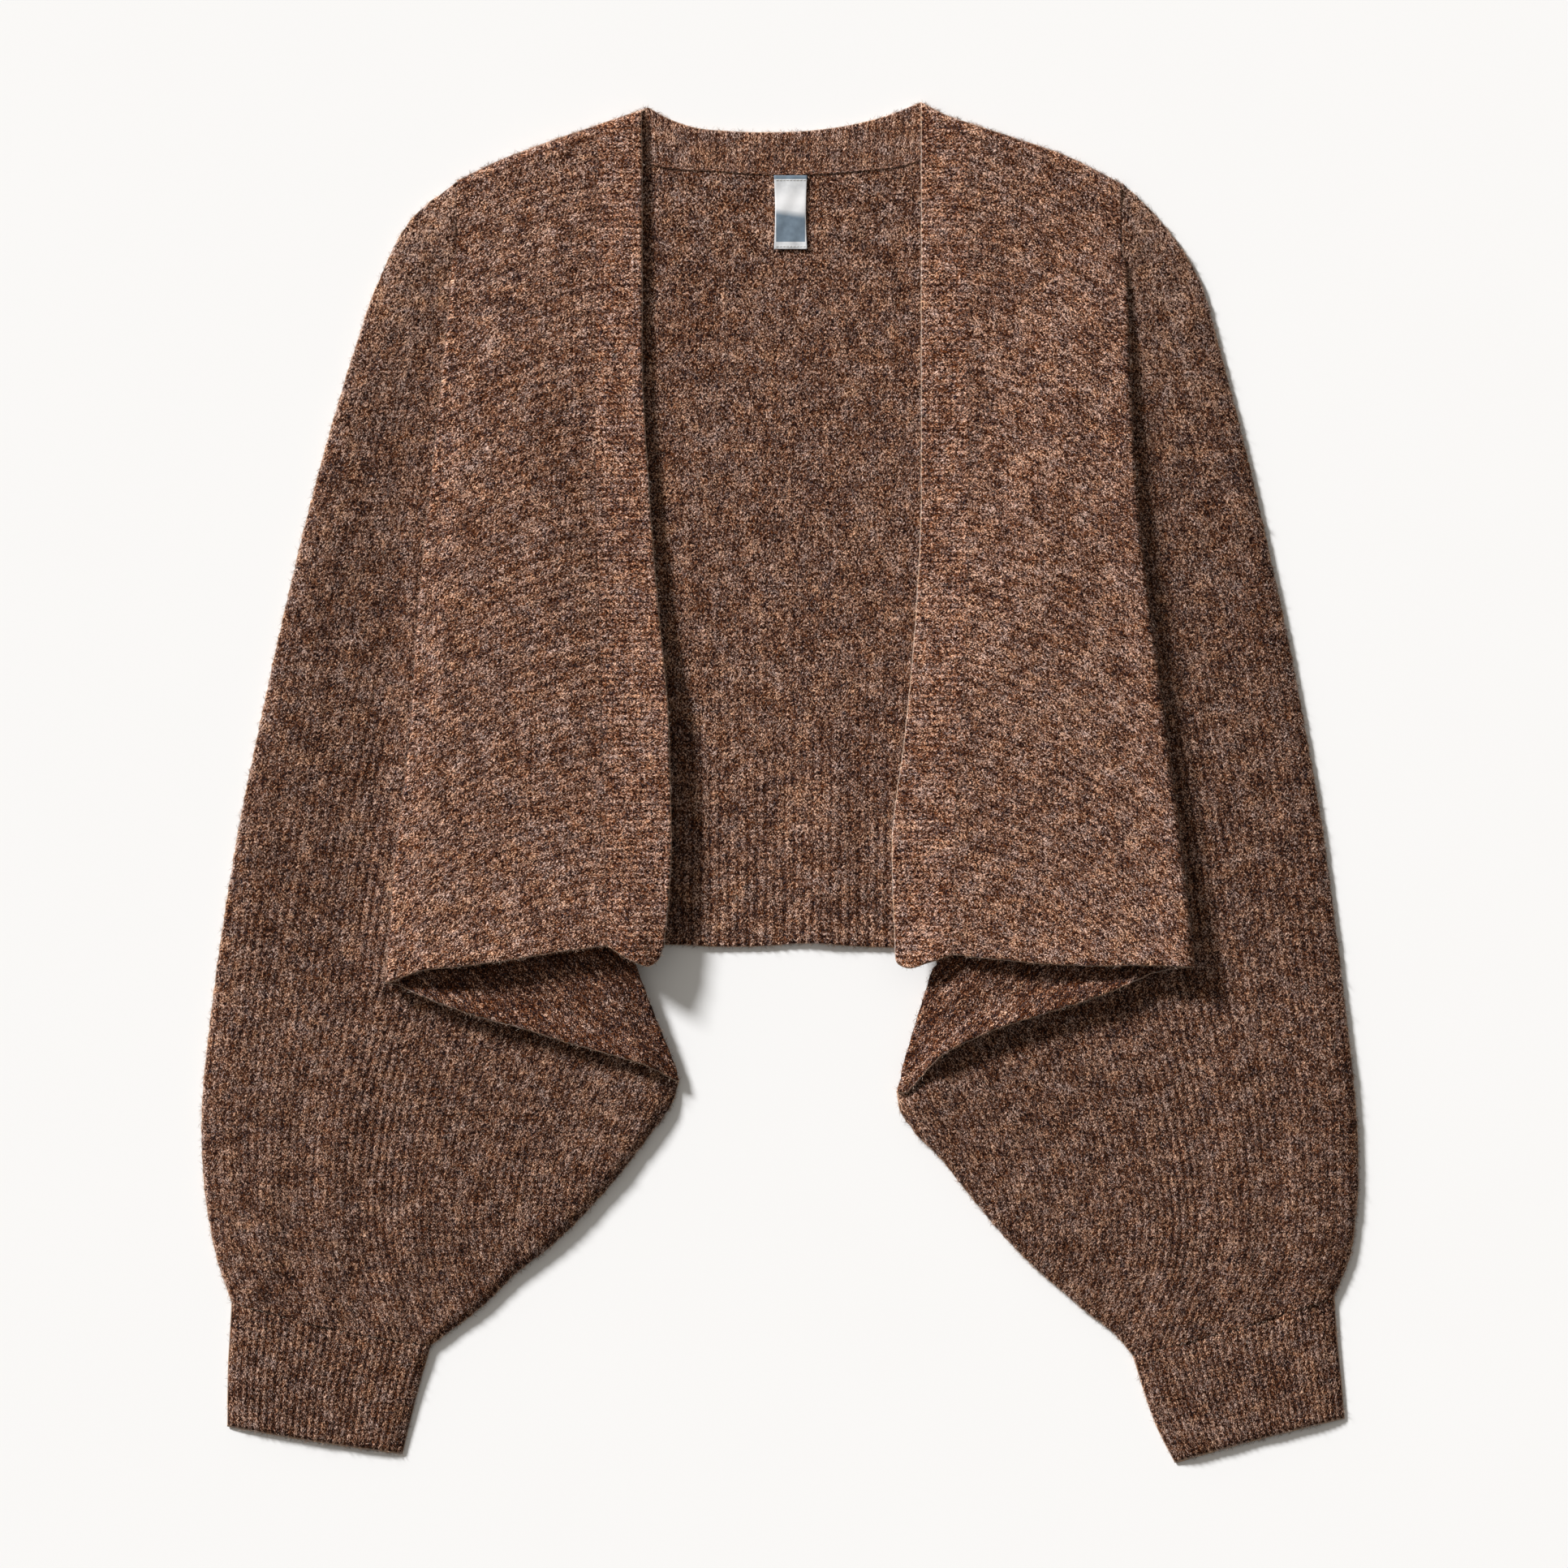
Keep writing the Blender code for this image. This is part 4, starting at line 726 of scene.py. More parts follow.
class Shell:
    """Points, faces and knit coordinates of one piece, in millimetres."""

    def __init__(self) -> None:
        """Start an empty piece."""
        self.points: list[Array] = []
        self.faces: list[Array] = []
        self.wales: list[Array] = []
        self.flat: list[Array] = []
        self.count = 0

    def add(
        self, points: Array, faces: Array, wales: Array, up: bool = True,
        flat: Array | None = None,
    ) -> int:
        """Add a sheet of triangles.

        Args:
            points: its points in space.
            faces: its triangles, counterclockwise seen from above.
            wales: rib count, distance along the rib and, if not 1, clarity at each point, which is
                past PAINTED_RIM_MARK / 2 on a free edge, for a painted pale rim light, and negative
                on the inner face, for painted shade.
            up: whether it faces up.
            flat: which faces keep a hard edge, or None.

        Returns:
            The number of its first point.
        """
        first = self.count
        self.points.append(points)
        self.faces.append((faces if up else faces[:, ::-1]) + first)
        clear = np.ones((len(points), 3 - wales.shape[1]))
        self.wales.append(np.column_stack([wales, clear]))
        self.flat.append(np.zeros(len(faces), bool) if flat is None else flat)
        self.count += len(points)
        return first

    def line_with(self, hollow: "Shell") -> "Shell":
        """Add another shell turned inside out, as the lining of a hollow.

        Args:
            hollow: the other shell.

        Returns:
            This shell.
        """
        parts = np.vstack(hollow.points), np.vstack(hollow.faces), np.vstack(hollow.wales)
        self.add(*parts, False, np.concatenate(hollow.flat))
        return self

    def rim(self, above: Array, below: Array) -> None:
        """Join two loops of equal length, the upper one counterclockwise.

        Args:
            above: point numbers of the upper loop.
            below: of the lower loop.
        """
        above_next, below_next = np.roll(above, -1), np.roll(below, -1)
        self.faces.append(np.stack([above, below, above_next], 1))
        self.faces.append(np.stack([above_next, below, below_next], 1))
        self.flat.append(np.ones(2 * len(above), bool))

    def write(self, name: str, material: Material, side: Handed = Handed.RIGHT) -> Piece:
        """Make the piece's object.

        Args:
            name: the object's name.
            material: its finish.
            side: mirrors the plan for the left half.

        Returns:
            The new object.
        """
        points = np.vstack(self.points) * METRES
        faces = np.vstack(self.faces)
        if side is Handed.LEFT:
            points = points * (-1, 1, 1)
            faces = faces[:, ::-1]
        mesh = bpy.data.meshes.new(name)
        mesh.vertices.add(len(points))
        mesh.vertices.foreach_set("co", points.astype(np.float32).ravel())
        mesh.loops.add(faces.size)
        mesh.loops.foreach_set("vertex_index", faces.astype(np.int32).ravel())
        mesh.polygons.add(len(faces))
        mesh.polygons.foreach_set("loop_start", np.arange(0, faces.size, 3, dtype=np.int32))
        mesh.polygons.foreach_set("use_smooth", ~np.concatenate(self.flat))
        mesh.update(calc_edges=True)
        mesh.validate()
        wales = mesh.attributes.new("wale", "FLOAT_VECTOR", "POINT")
        wales.data.foreach_set("vector", np.vstack(self.wales).astype(np.float32).ravel())
        mesh.materials.append(material)
        return put_in_scene(name, mesh)


def seam_edge(line: Array) -> Edge:
    """A wall's edge where it is sewn to the next piece."""
    return Edge(line, SEAM_REACH, SEAM_REACH, SEAM_REST)


def upward(out: Array, y: Array) -> Array:
    """Distance along ribs that run straight up the body."""
    return y


@dataclass
class Wall:
    """One wall of cloth over an outline, rounded along its edges.

    The fields give the upper and lower face's height, the rib count and the distance along a rib,
    each at plan points. place, if given, puts plan points and heights in space. level is how high
    above the lower face the two faces meet at a rounded edge, or None for half way.
    """

    outline: Array
    edges: tuple[Edge, ...]
    fill: Array
    under_fill: Array
    top: Field
    bottom: Field
    wale: Field
    course: Field = upward
    level: float | None = None
    place: Field | None = None
    clarity: Field | None = None

    def _plan(self, fill: Array, reaches: Sequence[float]) -> Plan:
        """Triangulate one face, with rings along its edges.

        Args:
            fill: the face's inner points.
            reaches: how far in each edge rounds off.

        Returns:
            The triangles.
        """
        closed = np.vstack([self.outline, self.outline[:1]])
        fill = fill[within(self.outline, fill)]
        fill = fill[distance(closed, fill) > FILL_CLEAR]
        rings = []
        for edge, reach in zip(self.edges, reaches):
            rings.append(edge_rings(self.outline, edge.line, reach))
            fill = fill[distance(edge.line, fill) > min(reach, RING_DEPTHS[-1]) + FILL_CLEAR]
        return Plan(self.outline, np.vstack([*rings, fill]))

    def _add_face(self, shell: Shell, fill: Array, up: bool) -> Array:
        """Add the upper or lower face and return its outline's point numbers.

        Args:
            shell: what it goes into.
            fill: its inner points.
            up: whether it is the upper one.

        Returns:
            The outline's point numbers.
        """
        reaches = [edge.reach if up else edge.under_reach for edge in self.edges]
        plan = self._plan(fill, reaches)
        out, y = plan.points.T
        high, low = self.top(out, y), self.bottom(out, y)
        meet = (high + low) / 2 if self.level is None else low + self.level
        share = np.ones(len(out))
        fuzz = np.zeros(len(out))
        for edge, reach in zip(self.edges, reaches):
            gap = distance(edge.line, plan.points, max(reach, 7.0))
            near = rounded(gap, reach, edge.rest)
            share = np.minimum(share, near)
            # free edges are marked for a painted pale rim light
            if edge.rest < 0.5:
                fuzz = np.maximum(fuzz, 1 - gap)
        height = meet + ((high if up else low) - meet) * share
        clear = np.ones(len(out)) if self.clarity is None else self.clarity(out, y)
        # inner faces get negative clarity, for painted shade; free edges get PAINTED_RIM_MARK more,
        # for a painted pale rim light
        clear = (clear if up else -INNER_GROOVE_SHADE * clear) + PAINTED_RIM_MARK * fuzz * (1 if up else -1)
        wales = np.stack([self.wale(out, y), self.course(out, y), clear], 1)
        if self.place is None:
            points = columns(*plan.points.T, height)
        else:
            points = self.place(plan.points, height)
        return shell.add(points, plan.faces, wales, up) + plan.loop

    def build(self) -> Shell:
        """Make the wall's two faces and its rim.

        Returns:
            The shell.
        """
        made = Shell()
        above = self._add_face(made, self.fill, True)
        made.rim(above, self._add_face(made, self.under_fill, False))
        return made


# --- Finishes ---


class Yarn(NamedTuple):
    """Rib spacing, share of full brightness, painted shade between ribs with paler crests, paling
    at the shoulder.
    """

    pitch: float
    shade: float
    groove: float
    shoulder: float


class Tone(Enum):
    """The groups of pieces whose yarn looks alike, each at a brightness that holds both the yarn's
    own shade and painted light and shade for how the group lies to the light.
    """

    # brightness: the yarn's own shade together with painted light and shade; groove: painted shade
    # between ribs
    FRONT = Yarn(FRONT_PITCH, 1.0, 0.10, 0.0)
    BAND = Yarn(BAND_PITCH, 1.24, 0.12, 0.0)
    SLEEVE = Yarn(SLEEVE_PITCH, 0.70, 0.17, 0.09)
    BACK = Yarn(BACK_PITCH, 0.86, 0.18, 0.0)


class Nodes:
    """Adds and links the shader nodes of a material or a world."""

    def __init__(self, owner: Material | bpy.types.World) -> None:
        """Start with the owner's own shader.

        Args:
            owner: the material or world.
        """
        owner.use_nodes = True
        self.owner = owner
        self.tree = owner.node_tree
        kind = "Principled BSDF" if isinstance(owner, Material) else "Background"
        self.shader = self.tree.nodes[kind]

    @classmethod
    def of_material(cls, name: str) -> "Nodes":
        """The nodes of a new material."""
        return cls(bpy.data.materials.new(name))

    def fill(self, node: bpy.types.Node, inputs: dict[int | str, object]) -> None:
        """Link a node's inputs, or set constants on them.

        Args:
            node: the node.
            inputs: a socket or constant by each input's name or number.
        """
        for key, value in inputs.items():
            if isinstance(value, Socket):
                self.tree.links.new(value, node.inputs[key])
            else:
                node.inputs[key].default_value = value

    def add(self, kind: str, inputs: dict[int | str, object], **settings: str) -> bpy.types.Node:
        """Add a node.

        Args:
            kind: its type, without the prefix.
            inputs: a socket or constant by each input's name or number.
            **settings: its own settings.

        Returns:
            The node.
        """
        node = self.tree.nodes.new(f"ShaderNode{kind}")
        for name, value in settings.items():
            setattr(node, name, value)
        self.fill(node, inputs)
        return node

    def math(self, operation: str, one: object, two: object = 0.0) -> Socket:
        """Result of a sum on one or two numbers."""
        return self.add("Math", {0: one, 1: two}, operation=operation).outputs[0]

    def vector(self, x: object, y: object) -> Socket:
        """A vector in the plan."""
        return self.add("CombineXYZ", {0: x, 1: y}).outputs[0]

    def split(self, vector: Socket) -> tuple[Socket, ...]:
        """The three numbers of a vector."""
        return tuple(self.add("SeparateXYZ", {0: vector}).outputs)

    def place(self) -> Socket:
        """Position in the object, in millimetres."""
        place = self.add("TexCoord", {}).outputs["Object"]
        return self.add("VectorMath", {0: place, "Scale": 1 / METRES}, operation="SCALE").outputs[0]

    def wale(self) -> tuple[Socket, ...]:
        """Rib count, distance along the rib in millimetres, and clarity."""
        return self.split(self.add("Attribute", {}, attribute_name="wale").outputs["Vector"])

    def noise(self, where: object, size: float, detail: float, roughness: float = 0.5) -> Socket:
        """Noise from 0 to 1 with features of a size in millimetres."""
        inputs = {"Vector": where, "Scale": 1 / size, "Detail": detail, "Roughness": roughness}
        return self.add("TexNoise", inputs).outputs[0]

    def cells(self, where: object, size: float) -> tuple[Socket, ...]:
        """Three random numbers for each cell of a size in millimetres."""
        node = self.add("TexVoronoi", {"Vector": where, "Scale": 1 / size})
        return self.split(node.outputs["Color"])

    def shifted(self, where: object, size: float, reach: float) -> Socket:
        """A place moved about by up to a reach, in swirls of a size in millimetres.

        Args:
            where: the place.
            size: a swirl's size.
            reach: the most that it moves.

        Returns:
            The moved place.
        """
        swirl = self.add("TexNoise", {"Vector": where, "Scale": 1 / size, "Detail": 1.0})
        inputs = {0: swirl.outputs["Color"], 1: (2 * reach,) * 3, 2: where}
        return self.add("VectorMath", inputs, operation="MULTIPLY_ADD").outputs[0]

    def between(self, value: object, low: float, high: float) -> Socket:
        """A value's place from 0 at low to 1 at high."""
        inputs = {"Value": value, "From Min": low, "From Max": high}
        return self.add("MapRange", inputs).outputs[0]

    def ramp(self, value: object, stops: Sequence[tuple[float, Colour]]) -> Socket:
        """Colour along a scale of stops.

        Args:
            value: the place on the scale.
            stops: places and their colours.

        Returns:
            The colour.
        """
        node = self.add("ValToRGB", {0: value})
        elements = node.color_ramp.elements
        while len(elements) < len(stops):
            elements.new(0.5)
        for element, (spot, colour) in zip(elements, stops):
            element.position = spot
            element.color = (*colour, 1.0)
        return node.outputs[0]

    def mix(self, share: object, one: object, two: object, how: str = "MIX") -> Socket:
        """Blend of two colours.

        Args:
            share: how much of the second.
            one: the first.
            two: the second.
            how: the kind of blend.

        Returns:
            The blend.
        """
        one, two = ((*each, 1.0) if isinstance(each, tuple) else each for each in (one, two))
        inputs = {0: share, 6: one, 7: two}
        return self.add("Mix", inputs, data_type="RGBA", blend_type=how).outputs[2]

    def bump(self, height: Socket, depth: float) -> None:
        """Raise the surface by height, a depth in millimetres at 1."""
        node = self.add("Bump", {"Distance": depth * METRES, "Height": height})
        self.fill(self.shader, {"Normal": node.outputs[0]})


@dataclass(frozen=True)
class Melange:
    """Brown wool of mixed light and dark fibres, knitted in ribs and lightly felted, with painted
    shade between ribs and on inner faces and a painted pale rim light on free edges.
    """

    tone: Tone
    fleck: float = 0.50
    stitch: float = 2.9
    relief: float = 0.4
    roughness: float = 0.92
    tuft_share: float = 0.70
    strand_share: float = 0.32
    cloud_share: float = 0.12
    mottle_share: float = 0.50
    low: float = 0.735
    high: float = 1.15
    stops: tuple[float, ...] = (0.0, 0.28, 0.5, 0.74, 1.0)
    # painted shade on inner faces, where the turned-under middle layer lies in the front's shade
    inner_darker: float = 0.09
    dark: Colour = (0.010, 0.0015, 0.0004)
    deep: Colour = (0.056, 0.0165, 0.0060)
    body: Colour = (0.164, 0.074, 0.046)
    pale: Colour = (0.37, 0.205, 0.143)
    light: Colour = (0.88, 0.60, 0.46)
    warm: Colour = (0.34, 0.115, 0.040)
    cool: Colour = (0.07, 0.065, 0.08)
    # colour and share of the painted pale rim light on free edges
    halo: Colour = (0.62, 0.48, 0.38)
    edge_share: float = 0.6
    drift_size: float = 7.0
    warm_tint: Colour = (1.09, 0.96, 0.80)
    cool_tint: Colour = (0.93, 1.0, 1.12)

    def _shade(self, colour: Colour) -> Colour:
        """A yarn colour at this group's brightness."""
        share = min(self.tone.value.shade, 0.9 / max(colour))
        return tuple(value * share for value in colour)

    def make(self) -> Material:
        """Build the material.

        Returns:
            The material.
        """
        nodes = Nodes.of_material(f"melange_{self.tone.name.lower()}")
        pitch = self.tone.value.pitch
        count, along, clear = nodes.wale()
        place = nodes.place()
        # each rib shows two columns of stitches, whose legs lean to the middle
        half = nodes.math("MULTIPLY", count, 2.0)
        part = nodes.math("FRACT", nodes.math("ADD", half, 0.5))
        leg = nodes.math("ABSOLUTE", nodes.math("SUBTRACT", part, 0.5))
        course = nodes.math("ADD", along, nodes.math("MULTIPLY", leg, pitch * 0.5))
        column = nodes.math("MULTIPLY", count, pitch)
        yarn = nodes.shifted(nodes.vector(column, course), 0.9, 0.22)
        tuft, hue, _ = nodes.cells(yarn, self.fleck)
        strand, _, _ = nodes.cells(nodes.shifted(place, 0.8, 0.2), self.fleck * 0.7)
        cloud = nodes.noise(place, 2.4, 2.0, 0.6)
        mottle = nodes.noise(place, 9.0, 3.0, 0.55)
        wave = nodes.math("SINE", nodes.math("MULTIPLY", course, math.tau / self.stitch))
        crest = nodes.math("ABSOLUTE", nodes.math("COSINE", nodes.math("MULTIPLY", count, math.pi)))
        # inner faces: painted shade, darker as if in the shade of the cloth above
        inner = nodes.math("LESS_THAN", clear, 0.0)
        clear = nodes.math("ABSOLUTE", clear)
        # painted pale rim light on free edges, standing in for light through the fuzz
        edge = nodes.between(clear, PAINTED_RIM_MARK / 2, PAINTED_RIM_MARK)
        clear = nodes.math("MINIMUM", clear, 2.6)
        _, up, _ = nodes.split(place)
        tone = nodes.math("MULTIPLY", tuft, self.tuft_share)
        # painted shade in the valleys between ribs and painted highlight on their crests, scaled by
        # clarity
        groove = nodes.math("MULTIPLY", clear, nodes.math("SUBTRACT", crest, 0.64))
        shoulder = nodes.between(up, 170.0, 310.0)
        parts = (
            (strand, self.strand_share), (cloud, self.cloud_share), (mottle, self.mottle_share),
            (wave, 0.02), (groove, self.tone.value.groove), (inner, -self.inner_darker),
            (shoulder, self.tone.value.shoulder),
        )
        for value, weight in parts:
            tone = nodes.math("ADD", tone, nodes.math("MULTIPLY", value, weight))
        shades = (self.dark, self.deep, self.body, self.pale, self.light)
        stops = [(spot, self._shade(shade)) for spot, shade in zip(self.stops, shades)]
        colour = nodes.ramp(nodes.between(tone, self.low, self.high), stops)
        warm = nodes.between(hue, 0.80, 0.88)
        colour = nodes.mix(nodes.math("MULTIPLY", warm, 0.4), colour, self._shade(self.warm))
        cool = nodes.between(hue, 0.16, 0.08)
        colour = nodes.mix(nodes.math("MULTIPLY", cool, 0.4), colour, self._shade(self.cool))
        # mix in the painted rim light
        colour = nodes.mix(nodes.math("MULTIPLY", edge, self.edge_share), colour, self.halo)
        drift = nodes.between(nodes.noise(place, self.drift_size, 2.0, 0.6), 0.32, 0.68)
        tint = nodes.mix(drift, self.cool_tint, self.warm_tint)
        rough = nodes.math("ADD", self.roughness - 0.06, nodes.math("MULTIPLY", cloud, 0.1))
        nodes.fill(nodes.shader, {
            "Base Color": nodes.mix(1.0, colour, tint, "MULTIPLY"), "Roughness": rough,
            "Specular IOR Level": 0.05, "Sheen Weight": 0.04, "Sheen Roughness": 0.6,
            "Sheen Tint": (0.8, 0.6, 0.5, 1.0),
        })
        height = nodes.math("ADD", nodes.math("MULTIPLY", wave, 0.2), cloud)
        nodes.bump(nodes.math("ADD", height, nodes.math("MULTIPLY", strand, 0.5)), self.relief)
        return nodes.owner


@dataclass(frozen=True)
class Satin:
    """The label's woven satin, pale with two blue-grey fields."""

    top: float
    centre: float
    half_block: float = 7.5
    strip_depth: float = 2.0
    block_start: float = 19.8
    block_end: float = 34.4
    slant: float = 0.14

    def make(self) -> Material:
        """Build the material.

        Returns:
            The material.
        """
        nodes = Nodes.of_material("woven_satin")
        x, y, _ = nodes.split(nodes.place())
        down = nodes.math("SUBTRACT", self.top, y)
        across = nodes.math("ABSOLUTE", nodes.math("SUBTRACT", x, self.centre))
        twill = nodes.math("SINE", nodes.math("MULTIPLY", nodes.math("ADD", x, y), math.tau / 0.55))
        cloud = nodes.noise(nodes.place(), 3.0, 2.0)
        shade = nodes.math("ADD", cloud, nodes.math("MULTIPLY", twill, 0.08))
        shade = nodes.between(shade, 0.25, 0.75)
        sheen = nodes.math("ABSOLUTE", nodes.math("SUBTRACT", down, 13.0))
        pale = nodes.mix(shade, (0.60, 0.61, 0.63), (0.78, 0.79, 0.80))
        pale = nodes.mix(nodes.between(sheen, 8.0, 1.0), pale, (0.90, 0.90, 0.91))
        blue = nodes.mix(shade, (0.130, 0.175, 0.225), (0.20, 0.265, 0.33))
        strip = nodes.math("LESS_THAN", down, self.strip_depth)
        slant = nodes.math("MULTIPLY", nodes.math("SUBTRACT", x, self.centre), self.slant)
        start = nodes.math("ADD", nodes.math("SUBTRACT", down, slant), cloud)
        block = nodes.between(start, self.block_start - 1.3, self.block_start + 2.2)
        block = nodes.math("MULTIPLY", block, nodes.math("LESS_THAN", down, self.block_end))
        block = nodes.math("MULTIPLY", block, nodes.math("LESS_THAN", across, self.half_block))
        nodes.fill(nodes.shader, {
            "Base Color": nodes.mix(nodes.math("MAXIMUM", strip, block), pale, blue),
            "Roughness": nodes.math("ADD", 0.42, nodes.math("MULTIPLY", cloud, 0.2)),
        })
        nodes.bump(twill, 0.05)
        return nodes.owner


@dataclass(frozen=True)
class Thread:
    """Cotton sewing thread."""

    name: str
    colour: Colour

    def make(self) -> Material:
        """Build the material.

        Returns:
            The material.
        """
        nodes = Nodes.of_material(self.name)
        strands = nodes.noise(nodes.place(), 0.3, 1.0)
        dark = tuple(0.7 * value for value in self.colour)
        colour = nodes.mix(strands, dark, self.colour)
        nodes.fill(nodes.shader, {"Base Color": colour, "Roughness": 0.7})
        nodes.bump(strands, 0.05)
        return nodes.owner


@dataclass(frozen=True)
class Fibre:
    """Loose wool, mostly paler than the cloth that it stands off."""

    stops: tuple[float, ...] = (0.0, 0.3, 0.6, 1.0)
    dark: Colour = (0.05, 0.024, 0.015)
    body: Colour = (0.20, 0.105, 0.068)
    pale: Colour = (0.44, 0.29, 0.215)
    light: Colour = (0.74, 0.60, 0.50)

    def make(self) -> Material:
        """Build the material.

        Returns:
            The material.
        """
        nodes = Nodes.of_material("loose_fibre")
        chance, _, _ = nodes.wale()
        shades = (self.dark, self.body, self.pale, self.light)
        colour = nodes.ramp(chance, list(zip(self.stops, shades)))
        matt = {"Roughness": 0.8, "Specular IOR Level": 0.1}
        nodes.fill(nodes.shader, {"Base Color": colour, **matt})
        return nodes.owner


@dataclass(frozen=True)
class PaleFloor:
    """Matt white board."""

    shade: float = 0.90

    def make(self) -> Material:
        """Build the material.

        Returns:
            The material.
        """
        nodes = Nodes.of_material("pale_floor")
        grain = nodes.noise(nodes.place(), 90.0, 2.0)
        low = (self.shade * 0.99,) * 3
        colour = nodes.mix(grain, low, (self.shade,) * 3)
        matt = {"Roughness": 0.95, "Specular IOR Level": 0.1}
        nodes.fill(nodes.shader, {"Base Color": colour, **matt})
        return nodes.owner


# --- One half ---


class HalfForm:
    """Edges and heights of one half, at arrays of points."""

    def __init__(self, shape: SideShape) -> None:
        """Work out the half's curves.

        Args:
            shape: the half's tables.
        """
        self.shape = shape
        self.side = shape.side
        (
            self.edge, self.seam, self.fold, self.hidden_fold,
            self.stack_top, self.edge_top, self.tuck_top,
        ) = (
            Curve([(row.y, getattr(row, column)) for row in shape.sections])
            for column in Section._fields[1:]
        )
        sign = shape.side.value
        self.arm = Curve([(row.y, row.out) for row in shape.arm])
        self.hem = Curve(shape.hem)
        self.middle_hem = Curve(shape.middle_hem)
        self.back_hem = Curve([(sign * row.out, row.y) for row in BACK_HEM if sign * row.out > -10])
        self.shoulder_line = Curve(shape.shoulder)
        self.apex = At(shape.sections[2].hidden_fold, shape.sections[2].y)
        self.tuck = shape.sections[4].y
        self.turn = Curve(shape.turn)
        self.lowest_pleat = shape.sections[-1].y

    def shoulder_end(self) -> At:
        """Point of the shoulder above the pleat's tip."""
        return At(self.apex.out, float(self.shoulder_line(self.apex.out)))

    def seam_top(self) -> At:
        """Point of the shoulder where the band's seam ends."""
        out = float(self.seam(self.shape.shoulder[2].y))
        return At(out, float(self.shoulder_line(out)))

    def front_top(self, out: Array, y: Array) -> Array:
        """Height of the front's upper face, ribs aside.

        Args:
            out: distances out.
            y: distances up.

        Returns:
            The heights.
        """
        hidden = self.hidden_fold(y)
        slope = np.clip(hidden - self.edge(y), FRONT_SLOPE_LEAST, FRONT_SLOPE_MOST)
        share = smooth(1 - (hidden - out) / slope)
        inland = smooth((self.turn_centre(y) - out) / self.shape.roll_width)
        roll = self.shape.roll * inland * smooth((self.tuck + 20 - y) / 70)
        low = self.edge_top(y)
        height = low + (self.stack_top(y) + roll - low) * share
        height = height + self.hem_lift(out, y)
        near = 0.94 * (self.shoulder_line(out) - y)
        bend = rounded(near, SHOULDER_ROUND, 0.0)
        return SHOULDER_LEVEL + (height - SHOULDER_LEVEL) * bend

    def hem_lift(self, out: Array, y: Array) -> Array:
        """How far the front's hem stands up off the middle layer."""
        between = smooth((out - self.seam(y) - 5) / 25) * smooth((self.turn_centre(y) - out) / 20)
        return HEM_LIFT * between * (1 - smooth((y - self.hem(out)) / HEM_LIFT_REACH))

    def turn_centre(self, y: Array) -> Array:
        """Distance out of the axis that the front turns round."""
        return self.fold(y) - self.turn(y) - WALL / 2

    def arc(self, y: Array) -> Array:
        """Length of cloth round the outer fold."""
        return math.pi * self.turn(y)

    def unfold(self, out: Array, y: Array) -> Array:
        """Place of a middle-layer point across the front's cloth before it is turned under."""
        return 2 * self.turn_centre(y) + self.arc(y) - out

    def calm(self, out: Array, y: Array) -> Array:
        """Share of the ribs' height, less beside the line where front and sleeve meet."""
        near = smooth(1.2 - np.abs(out - self.apex.out) / 9)
        return 1 - near * smooth((y - self.apex.y + 16) / 12)

    def front_rib(self, out: Array) -> Array:
        """How far a rib has dropped towards the hem at a distance out.

        Args:
            out: distances out.

        Returns:
            The drops, as negative lengths.
        """
        along = out - self.shape.sections[0].seam
        bent = np.minimum(along, FRONT_RIB_BEND)
        straight = np.maximum(along - FRONT_RIB_BEND, 0.0)
        last_slope = self.shape.rib_tilt + FRONT_RIB_STEEPENING * FRONT_RIB_BEND
        steepened = FRONT_RIB_STEEPENING * bent * bent / 2
        return -(self.shape.rib_tilt * bent + steepened + last_slope * straight)

    def back_side(self, y: Array) -> Array:
        """Distance out of the back panel's hidden side."""
        return self.fold(y) - BACK_INSET

    def over_back(self, out: Array, y: Array) -> Array:
        """1 above the back panel, easing to 0 just past it."""
        across = smooth(self.back_side(y) + BACK_CLEAR - out)
        return across * smooth(y - self.back_hem(out) + BACK_CLEAR)

    def droop(self, out: Array, y: Array) -> Array:
        """How far the layers sag towards their edge at the underarm."""
        across = 1 - smooth((out - self.hidden_fold(y)) / DROOP_WIDTH)
        return DROOP * across * smooth((-75 - y) / 30) * smooth((y + 178) / 22)

    def curl(self, out: Array, y: Array) -> Array:
        """How far the middle layer's hem curls up where it shows.

        Args:
            out: distances out.
            y: distances up.

        Returns:
            The rises.
        """
        knots = self.shape.middle_hem
        low = self.middle_hem(np.clip(out, knots[-1].out, knots[0].out))
        above = self.hem(np.clip(out, self.shape.hem[0].out, self.shape.hem[-1].out))
        inland = smooth((out - knots[-1].out - 2) / 16)
        return CURL * inland * (1 - smooth((y - low) / CURL_REACH)) * smooth((above + 2 - y) / 16)

    def pleat_share(self, out: Array, y: Array) -> Array:
        """1 below the pleat, easing to 0 on the bare sleeve.

        Args:
            out: distances out.
            y: distances up.

        Returns:
            The shares.
        """
        across = smooth((self.fold(y) + FOLD_SLOPE_FOOT - out) / FOLD_SLOPE_LENGTH)
        ends = self.shape.middle_hem[-1].out, self.shape.hem[-1].out
        low = self.middle_hem(np.clip(out, *ends))
        return across * smooth((y - low + HEM_SLOPE_FOOT) / HEM_SLOPE_LENGTH)

